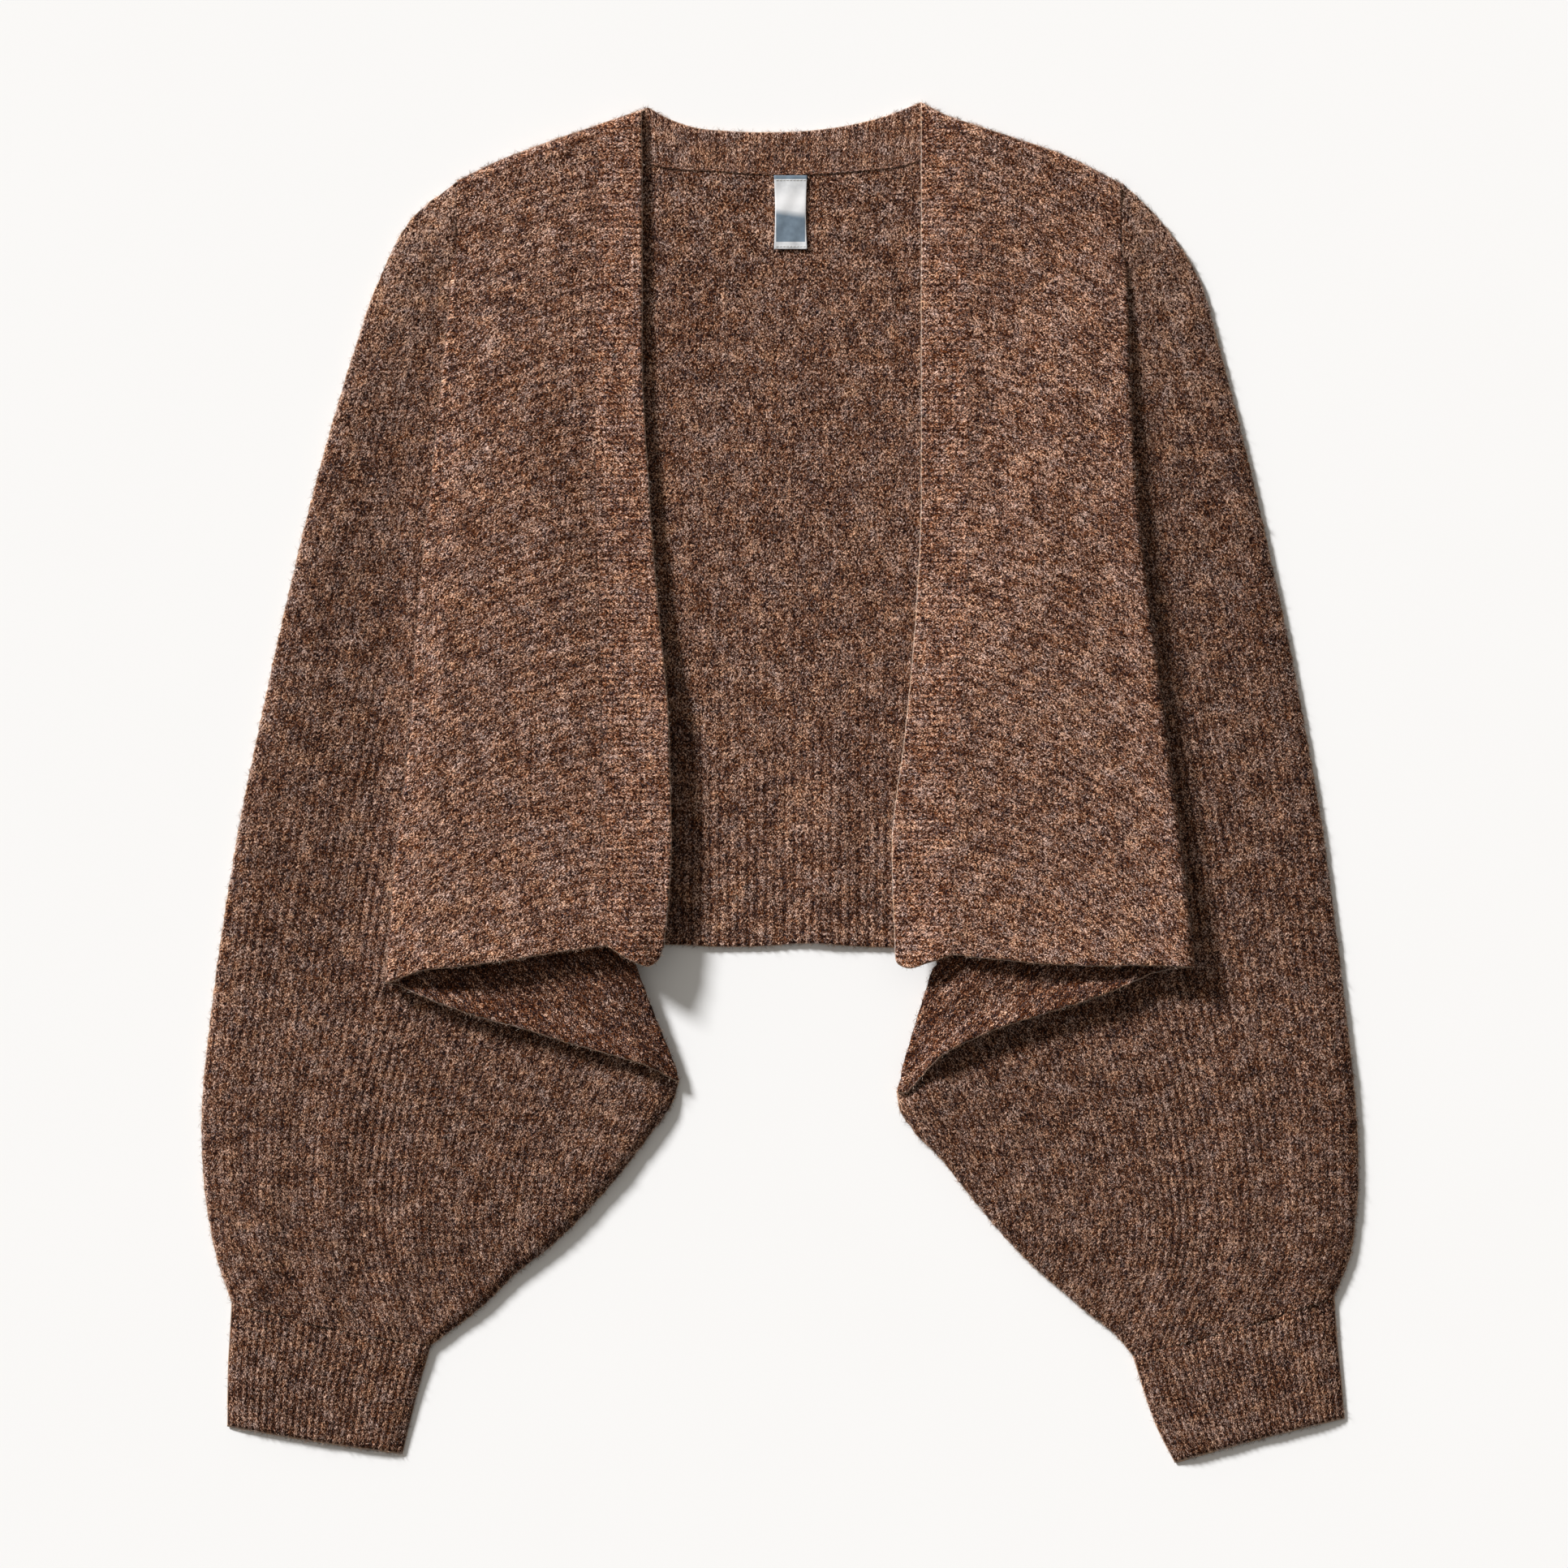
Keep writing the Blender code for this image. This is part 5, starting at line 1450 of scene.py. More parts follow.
    def sleeve_height(self, out: Array, y: Array) -> Array:
        """Height of the sleeve's upper face, ribs and rounded edges aside.

        Args:
            out: distances out.
            y: distances up.

        Returns:
            The heights.
        """
        share = self.pleat_share(out, y)
        plump = smooth((self.shape.hem[-1].y - y) / PLUMP_TOP_FADE)
        plump = plump * smooth((y + PLUMP_FOOT) / PLUMP_FOOT_FADE)
        waves = WAVE_SLEEVE * unevenness(out, y, 3.0 + self.side.value)
        bare = FLAT_HEIGHT + crease_lift(self.shape.creases, out, y) + PLUMP_HEIGHT * plump + waves
        return bare + (self.tuck_top(y) - bare) * share - self.droop(out, y)

    def rib_guide(self, y: Array) -> Array:
        """Distance out of the line that the sleeve's ribs run beside.

        Args:
            y: distances up.

        Returns:
            The distances out.
        """
        start, after = self.shape.arm[3:5]
        slope = (after.out - start.out) / (after.y - start.y)
        return np.where(y <= start.y, self.arm(y), start.out + slope * (y - start.y))

    def sleeve_pitch(self, y: Array) -> Array:
        """Rib spacing, closer near the cuff."""
        share = smooth((SLEEVE_CLOSING_TOP - y) / SLEEVE_CLOSING_LENGTH)
        return SLEEVE_PITCH + (SLEEVE_PITCH_CUFF - SLEEVE_PITCH) * share


@dataclass
class HalfPiece:
    """A cloth piece of one half, and what is said of its cut.

    word is the piece's own name and node its solid's. layers is how many times the cut covers
    the outline.
    """

    form: HalfForm
    finish: Material
    outline: Array = field(init=False)
    word: ClassVar[str]
    node: ClassVar[str]
    rests_on: ClassVar[tuple[str, ...]] = ("back_panel",)
    held: ClassVar[str] = "laid"
    layers: ClassVar[int] = 1

    def write(self, shell: Shell) -> Piece:
        """Make the piece's object of its shell."""
        side = self.form.side
        return shell.write(f"{side.word}_{self.word}_cloth", self.finish, side)

    def dress(self, piece: Piece) -> "Cut":
        """What the piece stands for and how it was cut.

        Args:
            piece: the made piece.

        Returns:
            The cut.
        """
        side = self.form.side.word
        rests_on = [name.format(side) for name in self.rests_on]
        return Cut(piece, f"{side}_{self.node}", self.outline, rests_on, self.held, self.layers)


@dataclass
class Front(HalfPiece):
    """A half's front, with its pleat turned under and down over the hidden fold."""

    word = node = "front"
    rests_on = ("{}_sleeve", "back_panel")
    held = "folded"
    pitch: float = FRONT_PITCH
    row: float = 3.2
    outline_step: float = 1.6
    turn_step: float = 0.8
    coarse: float = 8.0

    def _lip_share(self, y: Array) -> Array:
        """Share of the half turn over the hidden fold, from none at the pleat's tip."""
        return smooth((self.form.tuck - y) / 30)

    def _lip_line(self, y: Array) -> Array:
        """Distance out of the axis that the cloth turns down round at the hidden fold."""
        corner = smooth((-146 - y) / 8)
        return self.form.hidden_fold(y) + HIDDEN_OUTER * self._lip_share(y) + corner

    def _lip_start(self, y: Array) -> Array:
        """Place across the cloth where its turn over the hidden fold begins."""
        return self.form.unfold(self._lip_line(y), y)

    def _cloth_end(self, y: Array) -> Array:
        """Place across the cloth where it passes into the sleeve."""
        return self._lip_start(y) + math.pi * HIDDEN_TURN * self._lip_share(y)

    def _lower_edge(self) -> Array:
        """The hem from the front's seam, round the outer fold and on to the cloth's end.

        Returns:
            The edge in the unfolded cloth.
        """
        form, shape = self.form, self.form.shape
        hem = ragged(trace(shape.hem, self.outline_step), 2.0)
        hidden = ragged(trace(shape.middle_hem, self.outline_step), 4.0)
        turned = columns(form.unfold(*hidden.T), hidden[:, 1])
        turned = turned[self._past_turn(*turned.T) > 0]
        low = turned[-1, 1]
        lip = steps(turned[-1, 0], float(self._cloth_end(low)), self.turn_step)[1:]
        bend = steps(0.0, 1.0, self.turn_step / float(form.arc(low)))[1:-1, None]
        start = hem[-1]
        return np.vstack([hem, start + (turned[0] - start) * bend, turned, columns(lip, low)])

    def _draw(self) -> tuple[Array, Array, Array, Array]:
        """The outline, then its shoulder, seam and lower edge.

        Returns:
            The four lines.
        """
        form, shape = self.form, self.form.shape
        start = form.seam_top()
        knots = [row for row in shape.shoulder if start.out + 6 < row.out < form.apex.out - 4]
        shoulder = ragged(trace([start, *knots, form.shoulder_end()], self.outline_step), 6.0)
        lower = self._lower_edge()
        seam = line_of(form.seam, steps(lower[0, 1], shoulder[0, 1], self.outline_step)[1:-1])
        armhole = columns(form.apex.out, np.linspace(shoulder[-1, 1], form.apex.y, 16))
        rows = steps(form.apex.y - 1, lower[-1, 1], self.outline_step)
        opened = smooth((form.apex.y - rows) / 16)
        pleat = form.apex.out + (self._cloth_end(rows) - form.apex.out) * opened
        outline = join(seam, shoulder, armhole, columns(pleat, rows), lower[::-1])
        return outline, shoulder, seam, lower

    def _past_turn(self, out: Array, y: Array) -> Array:
        """How far across the cloth a point lies past the end of its outer turn."""
        return out - self.form.turn_centre(y) - self.form.arc(y)

    def _wedge(self, out: Array, y: Array) -> Array:
        """1 where the middle layer shows below the front's hem, else 0."""
        past = self._past_turn(out, y)
        return smooth((self.form.hem(self.form.turn_centre(y) - past) + 6 - y) / 4) * (past > 3)

    def _phase(self, out: Array, y: Array) -> Array:
        """Rib count, the ribs wandering a little."""
        wander = 0.10 * unevenness(out * 2.2, y * 2.2, 7.0 + self.form.side.value)
        return (y - self.form.front_rib(out)) / self.pitch + wander

    def _rise(self, out: Array, y: Array) -> Array:
        """Height of the ribs on the outer face, none once turned under."""
        height = FRONT_RIB_SHARE * RIB_HEIGHT * self.form.calm(out, y) * rib(self._phase(out, y))
        return height * (1 - smooth((self._past_turn(out, y) + 1.6) / 1.2))

    def _top(self, out: Array, y: Array) -> Array:
        """Height of the outer face from the wall's middle."""
        return WALL / 2 + self._rise(out, y)

    def _bottom(self, out: Array, y: Array) -> Array:
        """Height of the inner face from the wall's middle."""
        height = FRONT_RIB_SHARE * RIB_HEIGHT * self._wedge(out, y)
        return -WALL / 2 - height * rib(self._phase(out, y))

    def _place(self, plan: Array, lift: Array) -> Array:
        """Put points of the unfolded cloth in space, lift away from the wall's middle.

        Args:
            plan: points of the cloth.
            lift: their distances from the wall's middle.

        Returns:
            The points in space.
        """
        form = self.form
        out, y = plan.T
        centre = form.turn_centre(y)
        past = out - centre
        radius = form.turn(y)
        axis = form.stack_top(y) - WALL / 2 - radius
        edge_share = smooth((centre - out) / 14) * smooth((out - form.seam(y) + 4) / 10)
        waves = WAVE_FRONT * unevenness(out, y, 1.0 + form.side.value) * edge_share
        flat = columns(out, y, form.front_top(out, y) - WALL / 2 + lift + waves)
        angle = np.clip(past / radius, 0.0, math.pi)
        reach = radius + lift
        turn = columns(centre + reach * np.sin(angle), y, axis + reach * np.cos(angle))
        inward = centre - (past - math.pi * radius)
        level = axis - radius - form.droop(inward, y) + form.curl(inward, y)
        under = columns(inward, y, level - lift)
        lip = out - self._lip_start(y)
        angle = np.clip(lip / HIDDEN_TURN, 0.0, math.pi)
        hidden = self._lip_line(y)
        reach = HIDDEN_TURN - lift
        level = axis - radius - form.droop(hidden, y) + form.curl(hidden, y) - HIDDEN_TURN
        over = columns(hidden - reach * np.sin(angle), y, level + reach * np.cos(angle))
        zone = np.select([past <= 0, past < math.pi * radius, lip <= 0], [0, 1, 2], 3)
        return np.choose(zone[:, None], [flat, turn, under, over])

    def _rib_line(self, index: Array, out: Array) -> Array:
        """Points along ribs' eighths, by their number and their distance out."""
        return columns(out, index * self.pitch / 8 + self.form.front_rib(out))

    def _fill(self) -> tuple[Array, Array]:
        """Inner points of the outer face and of the inner face.

        Returns:
            The two sets of points.
        """
        form = self.form
        (start, low), (stop, high) = self.outline.min(0), self.outline.max(0)
        drop = float(form.front_rib(np.array(stop)))
        ends = 8 * low / self.pitch, 8 * (high - drop) / self.pitch
        ribs = rib_fill(self._rib_line, *ends, np.arange(start, stop, self.row))
        fine = rib_fill(self._rib_line, *ends, np.arange(start, stop, self.turn_step))
        past = self._past_turn(*ribs.T)
        fine_past = self._past_turn(*fine.T)
        hidden = grid((start, stop), (low, high), self.coarse)
        hidden_past = self._past_turn(*hidden.T)
        turn_rows = steps(low, high, 5.0)
        turns = [
            line_of(form.turn_centre, turn_rows, form.arc(turn_rows) * share)
            for share in TURN_SHARES
        ]
        lips = np.vstack([
            line_of(self._lip_start, turn_rows, math.pi * HIDDEN_TURN * share)
            for share in TURN_SHARES[:-1]
        ])
        lips = lips[lips[:, 0] < self._cloth_end(lips[:, 1]) - 0.3]
        arc = form.arc(ribs[:, 1])
        fine_arc = form.arc(fine[:, 1])
        outer = np.vstack([
            ribs[past < -arc - 0.5],
            fine[(fine_past > -fine_arc - 0.6) & (fine_past < -0.3 * fine_arc)],
            *turns[5:],
            hidden[(hidden_past > 3) & (hidden[:, 0] < self._lip_start(hidden[:, 1]) - 2)],
            lips,
        ])
        wedge = self._wedge(*ribs.T) > 0.02
        near_lip = fine[:, 0] - self._lip_start(fine[:, 1])
        inner = np.vstack([
            hidden[hidden_past < -form.arc(hidden[:, 1]) - 2],
            *turns,
            hidden[(hidden_past > 3) & (self._wedge(*hidden.T) < 0.02)
                   & (hidden[:, 0] < self._lip_start(hidden[:, 1]) - 2)],
            ribs[wedge & (ribs[:, 0] < self._lip_start(ribs[:, 1]) - 1)],
            fine[(near_lip > -0.6) & (fine[:, 1] < self.form.lowest_pleat + 60)],
            lips[lips[:, 1] > self.form.lowest_pleat + 60],
        ])
        return outer, inner

    def build(self) -> Piece:
        """Make the front.

        Returns:
            The piece.
        """
        self.outline, shoulder, seam, lower = self._draw()
        outer, inner = self._fill()
        hem = Edge(lower, HEM_ROUND, HEM_ROUND, 0.12)
        edges = (Edge(shoulder, 2.0, 1.4, 0.12), hem, seam_edge(seam))
        wall = Wall(
            self.outline, edges, outer, inner, self._top, self._bottom, self._phase,
            lambda out, y: out * 1.12, place=self._place,
        )
        return self.write(wall.build())


@dataclass
class Band(HalfPiece):
    """The ribbed band along a front's opening."""

    word = "band"
    node = "front_band"
    pitch: float = BAND_PITCH
    across_step: float = 2.6

    def _draw(self) -> tuple[Array, Array, Array]:
        """The outline, its free edge and its seam.

        Returns:
            The three lines.
        """
        form, shape = self.form, self.form.shape
        shoulder = trace([*shape.shoulder[:2], form.seam_top()], 1.5)[::-1]
        hem = trace(shape.band_hem, 1.0)
        rows = steps(hem[0, 1], shape.shoulder[0].y, 0.7)
        edge = ragged(line_of(form.edge, rows[1:-4])[::-1], 8.0, 0.25)
        seam = line_of(form.seam, steps(hem[-1, 1], shoulder[0, 1], 1.2)[1:-1])
        free = np.vstack([shoulder, edge, hem])
        return join(edge, hem, seam, shoulder), free, seam

    def _phase(self, out: Array, y: Array) -> Array:
        """Rib count, the ribs wandering a little."""
        return y / self.pitch + 0.12 * unevenness(out * 3, y * 1.5, 11.0 + self.form.side.value)

    def _lower(self, out: Array, y: Array) -> Array:
        """Height of the inner face."""
        waves = 0.25 * unevenness(out * 2, y * 2, 5.0 + self.form.side.value)
        return self.form.front_top(out, y) - WALL + waves

    def _upper(self, out: Array, y: Array) -> Array:
        """Height of the outer face."""
        return self._lower(out, y) + WALL + 0.85 * RIB_HEIGHT * rib(self._phase(out, y))

    def build(self) -> Piece:
        """Make the band.

        Returns:
            The piece.
        """
        self.outline, free, seam = self._draw()
        (start, low), (stop, high) = self.outline.min(0), self.outline.max(0)
        fill = rib_fill(
            lambda index, out: columns(out, index * self.pitch / 8),
            8 * low / self.pitch, 8 * high / self.pitch,
            np.arange(start, stop, self.across_step),
        )
        wall = Wall(
            self.outline, (Edge(free, 1.5, 1.3, 0.15), seam_edge(seam)),
            fill, grid((start, stop), (low, high), 5.0), self._upper, self._lower, self._phase,
            lambda out, y: out,
        )
        return self.write(wall.build())


@dataclass
class Sleeve(HalfPiece):
    """A sleeve, a flattened tube that runs in under the pleat."""

    word = node = "sleeve"
    layers = 2
    row: float = 3.4
    outline_step: float = 1.6
    coarse: float = 8.0
    meet: float = 1.1
    chains: dict[str, Array] = field(init=False)

    def _draw(self) -> tuple[Array, dict[str, Array]]:
        """The outline, and its chains by name.

        Returns:
            The outline and the chains.
        """
        form, shape = self.form, self.form.shape
        step = self.outline_step
        tip = np.array([form.apex.out, shape.shoulder[-1].y])
        line = columns(form.apex.out, np.linspace(tip[1], form.apex.y, 16))
        above = steps(form.tuck, form.apex.y - 1, step)[::-1]
        share = smooth((form.apex.y - above) / 12)
        beside = form.apex.out + (form.fold(above) - FOLD_CLEAR - form.apex.out) * share
        cross = np.array([[form.hidden_fold(form.tuck), form.tuck]])
        rows = steps(form.lowest_pleat, form.tuck, step)[::-1]
        rows = rows[rows > shape.underarm[0].y + 2]
        share = smooth((form.tuck - rows) / 30)
        under = columns(form.hidden_fold(rows) + HIDDEN_OUTER * share, rows)
        corner = np.array([shape.underarm[0]])
        underarm = ragged(trace(shape.underarm, step), 10.0)
        cuff = trace(shape.cuff_seam, 0.8)
        cuff[0] = underarm[-1]
        arm = [row for row in shape.arm[::-1] if row.y < tip[1] - 4]
        arm = ragged(trace([*arm, At(*tip)], step), 12.0)
        arm[0] = cuff[-1]
        chains = {
            "mouth": np.vstack([under[under[:, 1] < -60], corner]),
            "underarm": underarm, "cuff": cuff, "arm": arm,
        }
        beside = columns(beside, above)
        return join(line, beside, cross, under[1:], corner, underarm, cuff, arm), chains

    def _phase(self, out: Array, y: Array) -> Array:
        """Rib count, the ribs wandering a little."""
        wander = 0.14 * unevenness(out * 1.6, y * 1.2, 13.0 + self.form.side.value)
        return (self.form.rib_guide(y) - out) / self.form.sleeve_pitch(y) - 0.25 + wander

    def _clarity(self, out: Array, y: Array) -> Array:
        """How clearly the ribs show, most of all low down and in two bundles.

        Args:
            out: distances out.
            y: distances up.

        Returns:
            The clarity at each point.
        """
        bundles = np.exp(-(((out - 214 - 0.05 * y) / 9) ** 2)) * smooth((60 - y) / 60)
        patches = 0.2 * unevenness(out * 0.8, y * 0.5, 15.0)
        low = 0.35 + 0.4 * smooth((140 - y) / 220)
        return np.clip(low + 0.6 * bundles + patches, 0.15, 1.3) * self.form.calm(out, y)

    def _bottom(self, out: Array, y: Array) -> Array:
        """Height of the lower face, whose ribs rest on what lies below."""
        groove = UNDER_GROOVE * (1 - rib(self._phase(out, y)))
        return BACK_STEP * self.form.over_back(out, y) + groove

    def _top(self, out: Array, y: Array) -> Array:
        """Height of the upper face.

        Args:
            out: distances out.
            y: distances up.

        Returns:
            The heights.
        """
        form = self.form
        hidden = smooth((form.fold(y) - out) / 5) * smooth((y - form.middle_hem(out)) / 4)
        height = RIB_HEIGHT * (0.4 + 0.6 * self._clarity(out, y)) * (1 - hidden)
        return form.sleeve_height(out, y) + height * rib(self._phase(out, y))

    def _ceiling(self, out: Array, y: Array) -> Array:
        """Height of the hollow's upper face.

        Args:
            out: distances out.
            y: distances up.

        Returns:
            The heights.
        """
        points = columns(out, y)
        share = rounded(distance(self.chains["arm"], points, ARM_ROUND), ARM_ROUND, 0.1)
        inner = rounded(distance(self.chains["underarm"], points, EDGE_ROUND), EDGE_ROUND, 0.1)
        height = self.form.sleeve_height(out, y) - self.meet
        return self.meet + height * np.minimum(share, inner) - WALL

    def _floor(self, out: Array, y: Array) -> Array:
        """Height of the hollow's lower face."""
        low = BACK_STEP * self.form.over_back(out, y) + WALL
        return np.minimum(low, self._ceiling(out, y) - 0.35)

    def _rib_line(self, index: Array, y: Array) -> Array:
        """Points along ribs, by their number and their distance up."""
        out = self.form.rib_guide(y) - (index + 0.25) * self.form.sleeve_pitch(y)
        return columns(out, y)

    def _fill(self) -> tuple[Array, Array]:
        """Inner points of the upper and of the lower face.

        Returns:
            The two sets of points.
        """
        form = self.form
        low, high = self.outline[:, 1].min(), self.outline[:, 1].max()
        count = 250 / SLEEVE_PITCH_CUFF
        upper, lower = (
            rib_fill(
                lambda index, y: self._rib_line(index / parts, y), 0, int(parts * count),
                np.arange(low, high, row),
            )
            for parts, row in ((8, self.row), (4, 6.0))
        )
        out, y = upper.T
        hidden = (out < form.fold(y) - 5) & (y > form.middle_hem(out) + 5)
        rough = grid((0.0, 310.0), (low, high), self.coarse)
        out, y = rough.T
        rough = rough[(out < form.fold(y) - 7) & (y > form.middle_hem(out) + 7)]
        upper = np.vstack([upper[~hidden], rough])
        out, y = lower.T
        hidden = (out < form.back_side(y) - 6) & (y > form.back_hem(out) + 6)
        out, y = rough.T
        rough = rough[(out < form.back_side(y) - 9) & (y > form.back_hem(out) + 9)]
        return upper, np.vstack([lower[~hidden], rough])

    def build(self) -> Piece:
        """Make the sleeve.

        Returns:
            The piece.
        """
        self.outline, self.chains = self._draw()
        upper, lower = self._fill()
        edges = (
            Edge(self.chains["arm"], ARM_ROUND, 2.0, 0.1),
            Edge(self.chains["underarm"], EDGE_ROUND, 2.0, 0.1),
            Edge(self.chains["mouth"], 2.4, 1.2, 0.1),
            Edge(self.chains["cuff"], 1.3, 1.0, 0.96),
        )
        wall = Wall(
            self.outline, edges, upper, lower, self._top, self._bottom, self._phase,
            level=self.meet, clarity=self._clarity,
        )
        hollow = inset(self.outline, WALL)
        rough = grid((0.0, 310.0), (-300.0, 320.0), self.coarse)
        lining = Wall(hollow, (), rough, rough, self._ceiling, self._floor, self._phase)
        return self.write(wall.build().line_with(lining.build()))


@dataclass
class Cuff(HalfPiece):
    """The ribbed cuff, a short flattened tube open at its end."""

    word = node = "cuff"
    rests_on = ()
    layers = 2
    pitch: float = CUFF_PITCH
    stations: int = 34
    parts: int = 6
    height: float = 5.1
    flattening: float = 1.5
    level: float = 0.9

    def _along(self, knots: Sequence[At]) -> Array:
        """An edge's points from the seam to the end, one for each station.

        Args:
            knots: the edge from the seam.

        Returns:
            The points.
        """
        line = trace(knots, 1.0)
        run = run_along(line)
        spots = np.linspace(0, 1, self.stations) ** 0.9 * run[-1]
        return columns(*(np.interp(spots, run, part) for part in line.T))

    def build(self) -> Piece:
        """Make the cuff.

        Returns:
            The piece.
        """
        shape = self.form.shape
        inner = self._along([shape.cuff_seam[0], *shape.cuff_inner[::-1][1:]])
        outer = self._along([shape.cuff_seam[-1], *shape.cuff_outer[1:]])
        end = trace(shape.cuff_end, 1.0)[::-1]
        seam = trace(shape.cuff_seam, 1.0)
        self.outline = join(inner, end, outer[::-1], seam[::-1])
        ribs = math.dist(inner[0], outer[0]) / self.pitch
        margins = np.array([0.0, 0.15, 0.45, 0.95, 1.6, 2.4]) / (ribs * self.pitch)
        even = np.linspace(0, 1, int(ribs * self.parts))
        even = even[(even > margins[-1] + 0.004) & (even < 1 - margins[-1] - 0.004)]
        across = np.concatenate([margins, even, 1 - margins[::-1]])
        station = np.linspace(0, 1, self.stations)
        middle_seam = seam[len(seam) // 2, 1] - (inner[0, 1] + outer[0, 1]) / 2
        middle_end = end[len(end) // 2, 1] - (inner[-1, 1] + outer[-1, 1]) / 2
        bulge = (middle_seam * (1 - station) + middle_end * station)[:, None]
        plan = inner[:, None] + (outer - inner)[:, None] * across[None, :, None]
        plan[:, :, 1] += 4 * across * (1 - across) * bulge
        width = np.linalg.norm(outer - inner, axis=1)[:, None]
        phase = (across[None] - 0.5) * ribs + 0.06 * np.sin(9 * station)[:, None]
        edge_gap = np.minimum(across, 1 - across)[None] * width
        end_gap = (1 - station)[:, None] * width.mean() * 0.7
        seam_gap = station[:, None] * width.mean() * 0.7
        lip = rounded(end_gap, 4.0, 0.35) * rounded(seam_gap, 1.2, 0.96)
        near_inner = rounded(across[None] * width, EDGE_ROUND + 9 * station[:, None], 0.0)
        near_outer = rounded((1 - across[None]) * width, 0.9 * ARM_ROUND, 0.0)
        side = np.minimum(near_inner, near_outer)
        waves = 0.3 * unevenness(plan[..., 0], plan[..., 1], 17.0 + self.form.side.value)
        rise = RIB_HEIGHT * rib(phase)
        height = self.height - self.flattening * station[:, None] + waves + rise
        top = self.level + (height - self.level) * side * lip
        low = self.level * (1 - rounded(edge_gap, 2.0, 0.0))
        low = low + UNDER_GROOVE * (1 - rib(phase)) * side
        ceiling = np.minimum(top - 1.5 * side, self.height)
        floor = np.maximum(np.minimum(low + 1.5 * side, ceiling - 0.3 * side), 0.0)
        inner_width = 1 - 2 * 1.6 / width
        inner_across = 0.5 + (across[None] - 0.5) * inner_width
        loops = self._loops(plan, top, low)
        hollow_plan = inner[:, None] + (outer - inner)[:, None] * inner_across[..., None]
        hollow_plan[:, :, 1] = plan[:, :, 1]
        hollow = self._loops(hollow_plan, ceiling, floor)
        wale = np.concatenate([phase, phase[:, ::-1] + ribs], axis=1)
        # the cuff's free edges are marked for a painted pale rim light
        fuzz = np.clip(np.maximum(1 - edge_gap, 1 - end_gap), 0, 1)
        clear = 1 + PAINTED_RIM_MARK * np.concatenate([fuzz, fuzz[:, ::-1]], axis=1)
        wale = np.stack([wale, np.repeat(plan[:, :1, 1], wale.shape[1], 1), clear], -1)
        return self.write(self._tube(loops, hollow, wale))

    def _loops(self, plan: Array, top: Array, low: Array) -> Array:
        """Points round the tube at every station, over the top and back underneath.

        Args:
            plan: the points across at each station.
            top: their upper heights.
            low: their lower heights.

        Returns:
            The loops.
        """
        above = np.concatenate([plan, top[..., None]], -1)
        below = np.concatenate([plan, low[..., None]], -1)[:, ::-1]
        above[:, (0, -1), 2] += 0.12
        return np.concatenate([above, below], axis=1)

    def _tube(self, outer: Array, inner: Array, wale: Array) -> Shell:
        """Make the outer and inner walls and close both ends between them.

        Args:
            outer: the cloth's outer loops.
            inner: its inner loops.
            wale: the knit coordinates.

        Returns:
            The shell.
        """
        rows, count = outer.shape[:2]
        index = np.arange(rows * count).reshape(rows, count)
        after = np.roll(index, -1, 1)
        wall = quads(index[:-1], index[1:], after[1:], after[:-1])
        inside = index + rows * count
        inside_after = np.roll(inside, -1, 1)
        lining = quads(inside[:-1], inside_after[:-1], inside_after[1:], inside[1:])
        start = quads(index[0], after[0], inside_after[0], inside[0])
        end = quads(index[-1], inside[-1], inside_after[-1], after[-1])
        points = np.vstack([outer.reshape(-1, 3), inner.reshape(-1, 3)])
        wales = np.vstack([wale.reshape(-1, 3)] * 2)
        shell = Shell()
        shell.add(points, np.vstack([wall, lining, start, end]), wales)
        return shell


# --- Back ---


